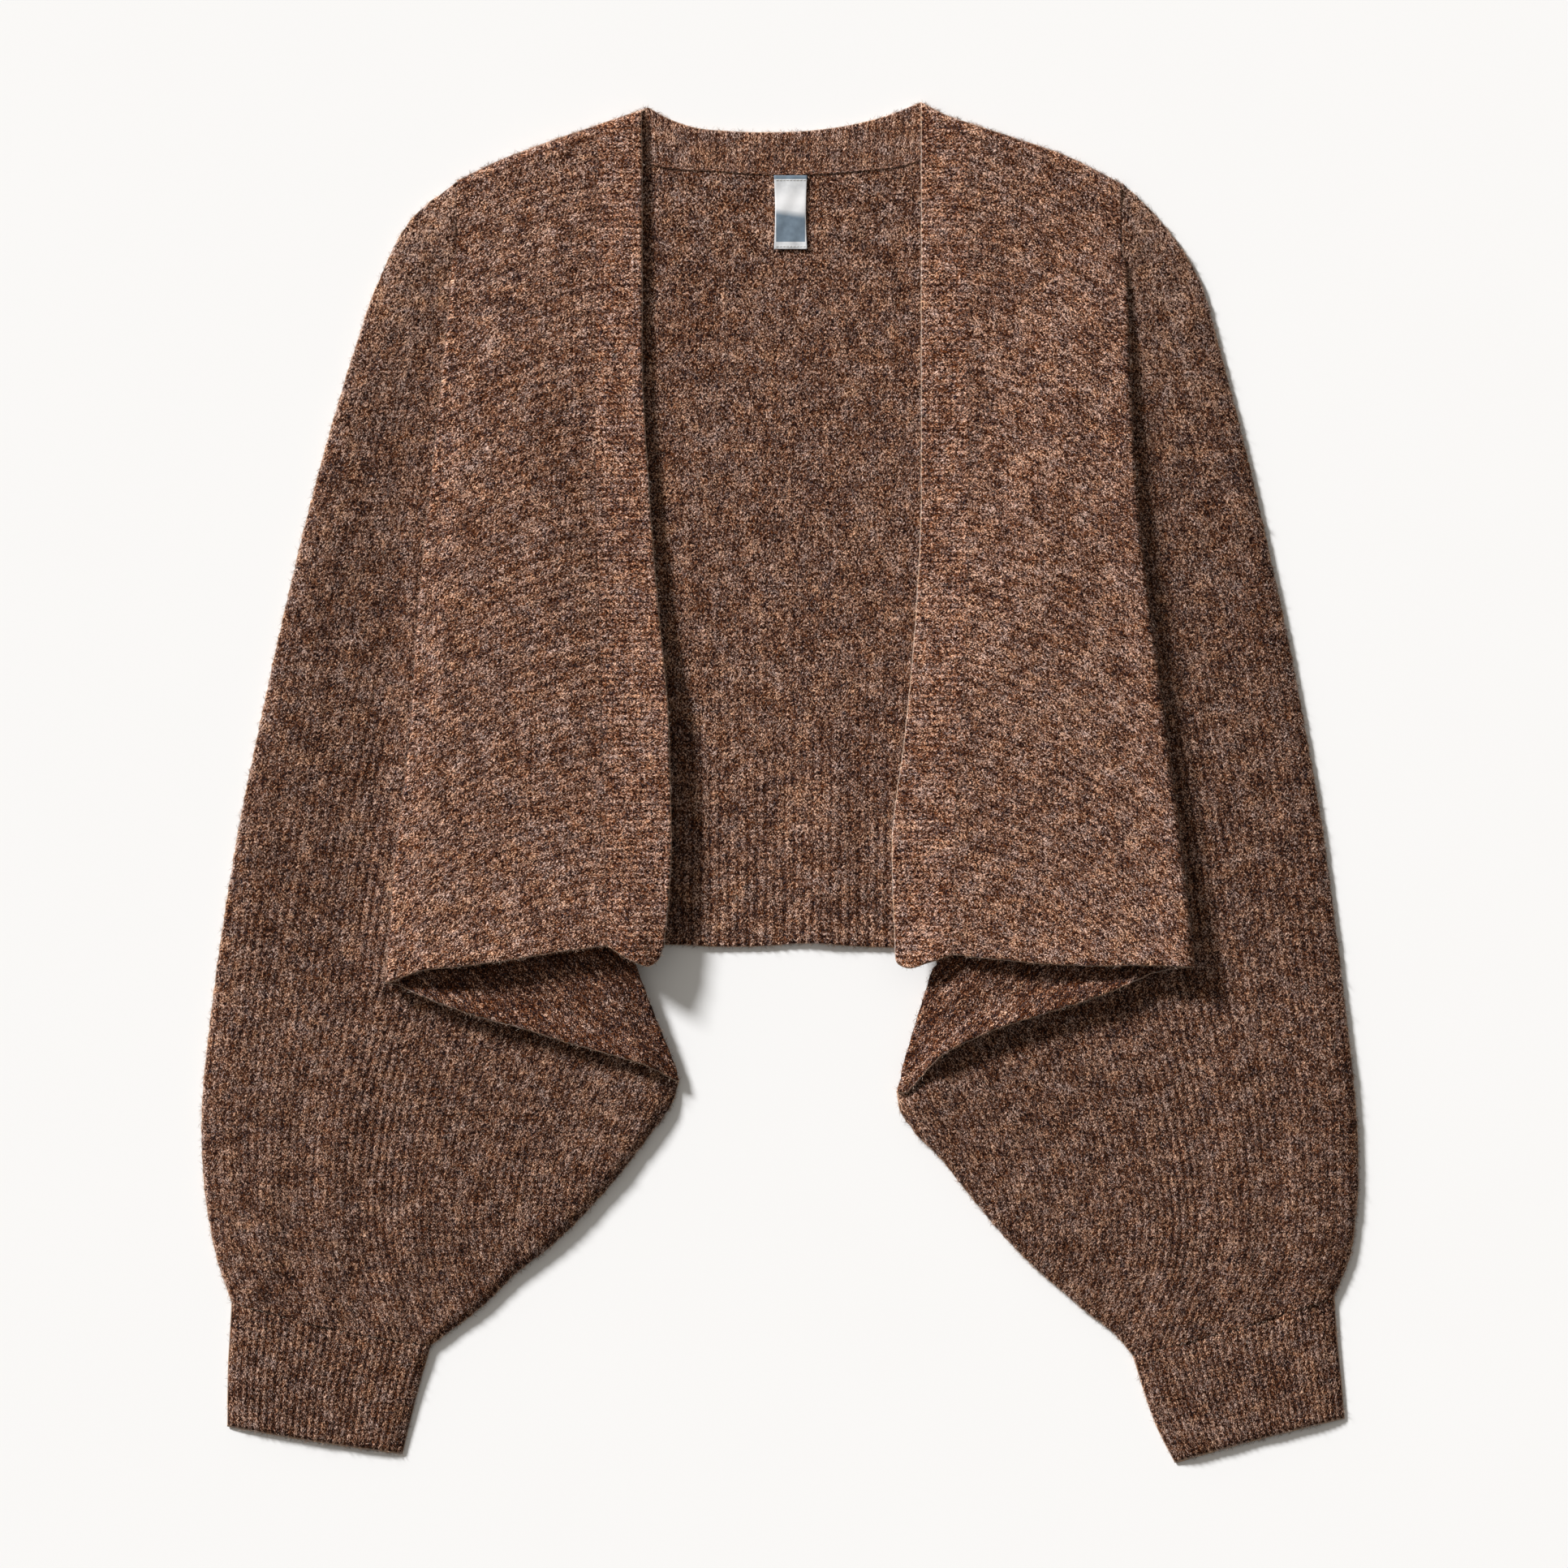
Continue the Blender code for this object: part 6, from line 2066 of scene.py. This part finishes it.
@dataclass
class Back:
    """The back panel with its hem band, its neckband and the beaded seam below that."""

    left: HalfForm
    right: HalfForm
    cloth: Material
    band: Material
    pitch: float = BACK_PITCH
    row: float = 3.2
    neck_half: float = 84.0

    def _half(self, out: Array, name: str, y: Array) -> Array:
        """A curve of whichever half a point is in."""
        return np.where(out < 0, getattr(self.left, name)(y), getattr(self.right, name)(y))

    def _shown(self, out: Array, y: Array) -> Array:
        """1 where the back shows between the fronts, easing to 0 under them."""
        return smooth((self._half(out, "edge", y) + 8 - np.abs(out)) / 4)

    def _phase(self, out: Array, y: Array) -> Array:
        """Rib count, the ribs wandering a little."""
        return out / self.pitch + 0.14 * unevenness(out * 1.4, y * 1.4, 21.0)

    def _clarity(self, out: Array, y: Array) -> Array:
        """How clearly the ribs show, most of all towards the hem."""
        patches = 0.15 * unevenness(out * 0.8, y * 0.5, 25.0)
        return np.clip(0.22 + 0.75 * smooth((70 - y) / 130) + patches, 0.1, 1.2)

    def _bottom(self, out: Array, y: Array) -> Array:
        """Height of the lower face, which rests on its ribs."""
        return UNDER_GROOVE * (1 - rib(self._phase(out, y)))

    def _top(self, out: Array, y: Array) -> Array:
        """Height of the upper face.

        Args:
            out: distances out.
            y: distances up.

        Returns:
            The heights.
        """
        ribs = RIB_HEIGHT * (0.3 + 0.7 * self._clarity(out, y)) * rib(self._phase(out, y))
        rise = ribs + crease_lift(BACK_CREASES, out, y)
        rise = rise + WAVE_BACK * (1 + unevenness(out, y, 23.0))
        return WALL + rise * self._shown(out, y)

    def _fill(self, outline: Array) -> tuple[Array, Array]:
        """Inner points of the upper and of the lower face.

        Args:
            outline: what they fill.

        Returns:
            The two sets of points.
        """
        (start, low), (stop, high) = outline.min(0), outline.max(0)
        upper, lower = (
            rib_fill(
                lambda index, y: columns(index * self.pitch / parts, y),
                parts * start / self.pitch, parts * stop / self.pitch, np.arange(low, high, row),
            )
            for parts, row in ((8, self.row), (4, 6.0))
        )
        rough = grid((start, stop), (low, high), 8.0)
        shown = self._shown(*upper.T) > 0.01
        return np.vstack([upper[shown], rough[self._shown(*rough.T) < 0.01]]), lower

    def _sheet(self, name: str, outline: Array, edges: tuple[Edge, ...]) -> Piece:
        """Make a piece with the back's ribs.

        Args:
            name: the piece's name.
            outline: its outline.
            edges: its rounded edges.

        Returns:
            The piece.
        """
        upper, lower = self._fill(outline)
        wall = Wall(
            outline, edges, upper, lower, self._top, self._bottom, self._phase,
            clarity=self._clarity,
        )
        return wall.build().write(name, self.cloth)

    def _panel_outline(self) -> tuple[Array, Array, Array]:
        """The panel's outline, its neck seam and its hem seam.

        Returns:
            The three lines.
        """
        left, right = self.left, self.right
        step = 1.6
        neck = trace(NECK_SEAM, 0.8)
        last = right.shoulder_end()
        rows = [row for row in RIGHT.shoulder[3:] if row.out < last.out - 4]
        right_shoulder = trace([At(*neck[-1]), *rows, last], step)
        last = At(-left.apex.out, left.shoulder_end().y)
        rows = [At(-row.out, row.y) for row in LEFT.shoulder[:2:-1] if -row.out > last.out + 4]
        left_shoulder = trace([last, *rows, At(*neck[0])], step)
        rows = steps(HEM_BAND_TOP, left.apex.y - 1, step)
        down = line_of(right.back_side, rows)[::-1]
        up = line_of(left.back_side, rows) * (-1, 1)
        outs = steps(down[-1, 0], up[0, 0], 0.8)[1:-1]
        hem = columns(outs, HEM_BAND_TOP)
        return join(neck, right_shoulder, down, hem, up, left_shoulder), neck, hem

    def build_panel(self) -> tuple[Piece, Array]:
        """Make the back panel.

        Returns:
            The piece and its outline.
        """
        outline, neck, hem = self._panel_outline()
        edges = (seam_edge(neck), Edge(hem, 0.9, 0.9, 0.9))
        return self._sheet("back_panel_cloth", outline, edges), outline

    def build_hem(self) -> tuple[Piece, Array]:
        """Make the band along the back's hem.

        Returns:
            The piece and its outline.
        """
        low = trace(BACK_HEM, 0.8)
        low[0, 0] = -float(self.left.back_side(low[0, 1]))
        low[-1, 0] = float(self.right.back_side(low[-1, 1]))
        ends = float(self.right.back_side(HEM_BAND_TOP)), -float(self.left.back_side(HEM_BAND_TOP))
        outs = steps(*ends, 0.8)
        top = columns(outs, HEM_BAND_TOP)
        outline = join(low, top)
        edges = (Edge(low, HEM_ROUND, HEM_ROUND, 0.15), Edge(top, 0.9, 0.9, 0.9))
        return self._sheet("back_hem_cloth", outline, edges), outline

    def _fan(self, y: Array) -> Array:
        """How much closer the neckband's ribs stand as they fan out with the neck's curve."""
        return 1 + (326 - y) / 900

    def _neck_phase(self, out: Array, y: Array) -> Array:
        """Rib count on the neckband."""
        return out / BAND_PITCH * self._fan(y) + 0.08 * unevenness(out * 3, y, 29.0)

    def _neck_top(self, out: Array, y: Array) -> Array:
        """Height of the neckband's upper face.

        Args:
            out: distances out.
            y: distances up.

        Returns:
            The heights.
        """
        share = smooth((self.neck_half - np.abs(out)) / 5)
        waves = 0.25 * (1 + unevenness(out * 2, y * 2, 31.0))
        return WALL + (0.6 * RIB_HEIGHT * rib(self._neck_phase(out, y)) + waves) * share

    def build_neckband(self) -> tuple[Piece, Array]:
        """Make the neckband.

        Returns:
            The piece and its outline.
        """
        top = trace(NECKLINE, 0.8)[::-1]
        low = trace(NECK_SEAM, 0.8)
        left_turn = At(-LEFT.shoulder[1].out, LEFT.shoulder[1].y)
        left_end = trace([NECKLINE[0], left_turn, At(*low[0])], 1.6)
        right_end = trace([At(*low[-1]), RIGHT.shoulder[1], NECKLINE[-1]], 1.6)
        outline = join(low, right_end, top, left_end)
        (start, bottom), (stop, high) = outline.min(0), outline.max(0)
        count = math.ceil(8 * max(-start, stop) / BAND_PITCH) + 4
        fill = rib_fill(
            lambda index, y: columns(index * BAND_PITCH / 8 / self._fan(y), y), -count, count,
            np.arange(bottom, high, 2.0),
        )
        edges = (Edge(top, 1.4, 1.2, 0.15), seam_edge(low))
        wall = Wall(
            outline, edges, fill, grid((start, stop), (bottom, high), 4.0), self._neck_top,
            lambda out, y: np.zeros_like(out), self._neck_phase,
        )
        return wall.build().write("back_neckband_cloth", self.band), outline

    def build_ridge(self) -> Piece:
        """Make the row of picked-up stitches along the neck seam.

        Returns:
            The piece.
        """
        line = trace(NECK_SEAM, 0.55)
        line = line[np.abs(line[:, 0]) < self.neck_half - 4] - (0, 0.5)
        bead = 0.62 + 0.2 * np.abs(np.sin(math.pi * run_along(line) / (BAND_PITCH / 2)))
        shell = Shell()
        add_tube(shell, columns(*line.T, WALL + 0.35), bead, 8)
        return shell.write("neck_seam_ridge", self.band)


@dataclass
class NeckLabel:
    """The woven label below the neckband, and the stitches that hold it."""

    satin: Material
    thread: Material
    centre: float = 5.5
    top: float = 314.0
    length: float = 38.2
    width: float = 17.2
    waist: float = 0.6
    thick: float = 0.7
    stitches: int = 9
    outline: Array = field(init=False)

    def _base(self, out: Array, y: Array) -> Array:
        """Height of the underside, curling a little at the corners.

        Args:
            out: distances out.
            y: distances up.

        Returns:
            The heights.
        """
        across = (out - self.centre) / (self.width / 2)
        down = (self.top - y) / self.length
        curl = 0.5 * across**4 * smooth((down - 0.7) / 0.3)
        ripple = 0.12 * np.sin(across * 5 + down * 9)
        return WALL + RIB_HEIGHT + 0.5 + crease_lift(BACK_CREASES, out, y) + curl + ripple

    def build(self) -> list[Piece]:
        """Make the label and its stitches.

        Returns:
            The label, then each row of stitches.
        """
        low, half = self.top - self.length, self.width / 2
        rows = steps(low, self.top, 0.8)
        bow = 4 * (rows - low) * (self.top - rows) / self.length**2
        right = columns(self.centre + half - self.waist * bow, rows)
        left = columns(self.centre - half + self.waist * bow, rows)[::-1]
        outs = steps(self.centre - half, self.centre + half, 0.8)[1:-1]
        top = columns(outs[::-1], self.top)
        bottom = columns(outs, low)
        outline = join(bottom, right, top, left)
        fill = grid((self.centre - half, self.centre + half), (low, self.top), 0.9)
        closed = np.vstack([outline, outline[:1]])
        wall = Wall(
            outline, (Edge(closed, 0.4, 0.4, 0.3),), fill, fill,
            lambda out, y: self._base(out, y) + self.thick, self._base, lambda out, y: out / 0.4,
        )
        self.outline = outline
        made = [wall.build().write("neck_label_cloth", self.satin)]
        for name, level in (("upper", self.top - 2.6), ("lower", low + 1.4)):
            spots = np.linspace(self.centre - half + 1.6, self.centre + half - 1.6, self.stitches)
            threads = Shell()
            for spot in spots:
                reach = steps(-0.75, 0.75, 0.25)
                line = columns(spot + reach, level)
                height = self._base(*line.T) + self.thick + 0.05
                bulge = 0.22 * np.sqrt(np.maximum(1 - (reach / 0.8) ** 2, 0.04))
                add_tube(threads, np.column_stack([line, height]), bulge, 6)
            made.append(threads.write(f"neck_label_stitches_{name}", self.thread))
        return made


# --- Threads and fuzz ---


def add_tube(shell: Shell, line: Array, radius: Array, sides: int) -> None:
    """Add a closed tube along a line.

    Args:
        shell: the shell it goes into.
        line: its middle, point by point.
        radius: its radius at each point.
        sides: how many sides it has.
    """
    ahead = unit(np.gradient(line, axis=0))
    one = unit(np.cross(ahead, NEARLY_UP))
    two = np.cross(one, ahead)
    turn = np.arange(sides) * math.tau / sides
    ring = one[:, None] * np.cos(turn)[None, :, None] + two[:, None] * np.sin(turn)[None, :, None]
    points = (line[:, None] + radius[:, None, None] * ring).reshape(-1, 3)
    count = len(line)
    index = np.arange(count * sides).reshape(count, sides)
    after = np.roll(index, -1, 1)
    wall = quads(index[:-1], after[:-1], after[1:], index[1:])[:, (0, 2, 1)]
    points = np.vstack([points, line[:1], line[-1:]])
    first, last = count * sides, count * sides + 1
    caps = np.vstack([
        np.stack([np.full(sides, first), index[0], after[0]], 1),
        np.stack([np.full(sides, last), after[-1], index[-1]], 1),
    ])
    run = run_along(line)
    wales = columns(np.tile(turn / 4, count), np.repeat(run, sides))
    wales = np.vstack([wales, (0.0, run[0]), (0.0, run[-1])])
    shell.add(points, np.vstack([wall, caps]), wales)


class Cut(NamedTuple):
    """A cloth piece with what is said about it.

    outline is what its cut is measured from, layers how many times the cut covers the outline,
    and sewn the pieces that are sewn to it.
    """

    piece: Piece
    node: str
    outline: Array
    rests_on: Sequence[str] = ()
    held: str = "laid"
    layers: int = 1
    sewn: Sequence[Piece] = ()

    def declare(self, loose: Sequence[Piece]) -> None:
        """Attach the piece with its loose fibres to the body and state its cut.

        Args:
            loose: the piece's fibres.
        """
        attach(self.piece, BODY)
        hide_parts(self.node)
        with_pieces = [*self.sewn, *loose]
        for part in with_pieces:
            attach(part, BODY)
        size = (self.outline.max(0) - self.outline.min(0)) * METRES * (self.layers, 1)
        list(self.rests_on)
        self.layers * plan_area(self.outline) * METRES**2
        LOG.info(
            "%s: cut %.0f by %.0f mm, %d faces", self.piece.name, *(size * 1000),
            len(self.piece.data.polygons),
        )


def points_of(piece: Piece) -> Array:
    """A piece's points, in millimetres.

    Args:
        piece: the piece.

    Returns:
        The points.
    """
    points = np.empty(len(piece.data.vertices) * 3, np.float32)
    piece.data.vertices.foreach_get("co", points)
    return points.reshape(-1, 3).astype(float) / METRES


class Cover:
    """Highest cloth over each small square of the board."""

    def __init__(self, pieces: Sequence[Piece], square: float = 3.6) -> None:
        """Find the heights.

        Args:
            pieces: all cloth.
            square: a square's side, in millimetres.
        """
        points = np.vstack([points_of(piece) for piece in pieces])
        self.square = square
        self.corner = points[:, :2].min(0)
        index = ((points[:, :2] - self.corner) / square).astype(int)
        self.height = np.full(index.max(0) + 1, -1.0)
        np.maximum.at(self.height, tuple(index.T), points[:, 2])

    def shows(self, points: Array, slack: float) -> Array:
        """Tell which points are no more than slack below the highest cloth there.

        Args:
            points: the points.
            slack: the depth.

        Returns:
            True for each such point.
        """
        index = ((points[:, :2] - self.corner) / self.square).astype(int)
        index = np.clip(index, 0, np.array(self.height.shape) - 1).T
        return points[:, 2] > self.height[tuple(index)] - slack


@dataclass(frozen=True)
class Fuzz:
    """Fine fibres that stand off the felted cloth, most of all along its edges."""

    material: Material
    density: float = 0.035
    edge_gain: float = 40.0
    slack: float = 3.4
    length: tuple[float, float] = (1.4, 4.0)
    radius: tuple[float, float] = (0.055, 0.1)
    most: int = 6000

    def _roots(
        self, piece: Piece, cover: Cover, chance: np.random.Generator
    ) -> tuple[Array, Array]:
        """Where fibres start on a piece, and the surface's direction there.

        Args:
            piece: the cloth.
            cover: tells where it shows.
            chance: the draws.

        Returns:
            The points and directions.
        """
        corners = np.empty(len(piece.data.polygons) * 3, np.int32)
        piece.data.polygons.foreach_get("vertices", corners)
        corners = points_of(piece)[corners.reshape(-1, 3)]
        normal = np.cross(corners[:, 1] - corners[:, 0], corners[:, 2] - corners[:, 0])
        area = np.linalg.norm(normal, axis=1)
        normal /= np.maximum(area, 1e-9)[:, None]
        weight = area / 2 * (1 + self.edge_gain * (1 - np.abs(normal[:, 2])) ** 3)
        weight *= cover.shows(corners.mean(1), self.slack) & (normal[:, 2] > -0.2)
        count = min(int(self.density * weight.sum()), self.most)
        picked = chance.choice(len(weight), count, p=weight / weight.sum())
        share = np.sort(chance.random((count, 2)), axis=1)
        share = np.stack([share[:, 0], share[:, 1] - share[:, 0], 1 - share[:, 1]], 1)
        return (corners[picked] * share[..., None]).sum(1), normal[picked]

    def grow(self, piece: Piece, cover: Cover, seed: int) -> Piece:
        """Make a piece's loose fibres.

        Args:
            piece: the cloth.
            cover: tells where the cloth shows.
            seed: sets the fibres' places.

        Returns:
            One piece with all fibres, each a closed, tapered, bent prism.
        """
        chance = np.random.default_rng(seed)
        root, normal = self._roots(piece, cover, chance)
        count = len(root)
        along = chance.normal(size=(count, 3))
        along -= (along * normal).sum(1)[:, None] * normal
        along = unit(along) + chance.uniform(0.15, 0.9, (count, 1)) * normal
        along = unit(along)
        onward = unit(along + 0.45 * chance.normal(size=(count, 3)) - (0, 0, 0.15))
        reach = chance.uniform(*self.length, (count, 1)) / 2
        middle = root + reach * along
        tip = middle + reach * onward
        one = unit(np.cross(along, NEARLY_UP))
        two = np.cross(one, along)
        turn = np.arange(3) * math.tau / 3
        ring = one[:, None] * np.cos(turn)[:, None] + two[:, None] * np.sin(turn)[:, None]
        ring = ring * chance.uniform(*self.radius, (count, 1, 1))
        base = root - 0.12 * normal
        rings = base[:, None] + ring, middle[:, None] + 0.8 * ring
        points = np.concatenate([*rings, tip[:, None]], 1)
        points[..., 2] = np.maximum(points[..., 2], 0.05)
        faces = [(0, 2, 1)]
        for side, after in ((0, 1), (1, 2), (2, 0)):
            faces += [(side, after, after + 3), (side, after + 3, side + 3)]
            faces.append((side + 3, after + 3, 6))
        faces = np.array(faces)[None] + 7 * np.arange(count)[:, None, None]
        shade = np.repeat(chance.random(count), 7)
        shell = Shell()
        shell.add(points.reshape(-1, 3), faces.reshape(-1, 3), columns(shade, shade), False)
        return shell.write(f"{piece.name}_fuzz", self.material)


# --- Studio ---


@dataclass(frozen=True)
class Studio:
    """Pale board, low soft key light, even fill and a camera straight above."""

    camera_height: float = 6.0
    view_width: float = 0.8114
    centre: tuple[float, float] = (0.0021, -0.0008)
    sensor: float = 36.0
    key_from: Direction = (-0.56, 0.56, 0.41)
    key_strength: float = 5.35
    key_angle: float = 11.5
    fill_strength: float = 0.30
    fill_lean: Direction = (-0.15, 0.15, 0.0)
    board_half: float = 15.0

    def build(self) -> None:
        """Make the board, the lights and the camera."""
        scene = bpy.context.scene
        self._board()
        self._camera()
        sun = bpy.data.lights.new("key", "SUN")
        sun.energy = self.key_strength
        sun.angle = math.radians(self.key_angle)
        sun.color = (0.985, 0.985, 0.99)
        lamp = put_in_scene("key", sun)
        lamp.rotation_euler = Vector(self.key_from).to_track_quat("Z", "Y").to_euler()
        self._fill(scene)
        scene.view_settings.view_transform = "Standard"
        scene.view_settings.look = "None"

    def _fill(self, scene: bpy.types.Scene) -> None:
        """Add soft light from all round, a little stronger from the key light's side.

        Args:
            scene: what it lights.
        """
        scene.world = bpy.data.worlds.new("fill")
        nodes = Nodes(scene.world)
        place = nodes.add("TexCoord", {}).outputs["Generated"]
        lean = nodes.add("VectorMath", {0: place, 1: self.fill_lean}, operation="DOT_PRODUCT")
        strength = nodes.math("ADD", lean.outputs["Value"], self.fill_strength)
        nodes.fill(nodes.shader, {"Color": (1.0, 0.945, 0.865, 1.0), "Strength": strength})

    def _board(self) -> None:
        """Lay the board under everything."""
        half = self.board_half
        mesh = bpy.data.meshes.new("board")
        corners = [(-half, -half), (half, -half), (half, half), (-half, half)]
        mesh.from_pydata([(x, y, -0.0002) for x, y in corners], [], [(0, 1, 2, 3)])
        mesh.materials.append(PaleFloor().make())
        put_in_scene("board", mesh)

    def _camera(self) -> None:
        """Hang the camera straight above."""
        lens = bpy.data.cameras.new("camera")
        lens.sensor_width = self.sensor
        lens.lens = self.sensor * self.camera_height / self.view_width
        lens.clip_end = 100.0
        camera = put_in_scene("camera", lens)
        camera.location = (*self.centre, self.camera_height)
        bpy.context.scene.camera = camera


def build_back(left: HalfForm, right: HalfForm, tones: dict[Tone, Material]) -> list[Cut]:
    """Build the back with its hem band and neckband.

    Args:
        left: the left half.
        right: the right half.
        tones: the finishes.

    Returns:
        The cuts.
    """
    back = Back(left, right, tones[Tone.BACK], tones[Tone.FRONT])
    panel, panel_outline = back.build_panel()
    hem, hem_outline = back.build_hem()
    neck, neck_outline = back.build_neckband()
    return [
        Cut(panel, "back_panel", panel_outline), Cut(hem, "back_hem_band", hem_outline),
        Cut(neck, "back_neckband", neck_outline, sewn=[back.build_ridge()]),
    ]


def build_label() -> Cut:
    """Build the neck label with its stitches.

    Returns:
        The cut.
    """
    label = NeckLabel(Satin(314.0, 5.5).make(), Thread("label_thread", (0.66, 0.65, 0.63)).make())
    cloth, *stitches = label.build()
    return Cut(cloth, "neck_label", label.outline, ["back_panel"], sewn=stitches)


def build_half(form: HalfForm, tones: dict[Tone, Material]) -> list[Cut]:
    """Build the pieces of one half.

    Args:
        form: the half.
        tones: the finishes.

    Returns:
        The cuts.
    """
    parts = (
        Sleeve(form, tones[Tone.SLEEVE]), Cuff(form, tones[Tone.SLEEVE]),
        Front(form, tones[Tone.FRONT]), Band(form, tones[Tone.BAND]),
    )
    return [part.dress(part.build()) for part in parts]


def main() -> None:
    """Build the whole scene."""
    logging.basicConfig(level=logging.INFO, format="%(name)s: %(message)s")
    tones = {tone: Melange(tone).make() for tone in Tone}
    left, right = HalfForm(LEFT), HalfForm(RIGHT)
    cuts = build_back(left, right, tones) + build_half(left, tones) + build_half(right, tones)
    cover = Cover([cut.piece for cut in cuts])
    fuzz = Fuzz(Fibre().make())
    for seed, cut in enumerate(cuts):
        cut.declare([fuzz.grow(cut.piece, cover, seed)])
    build_label().declare([])
    Studio().build()


if __name__ == "__main__":
    main()
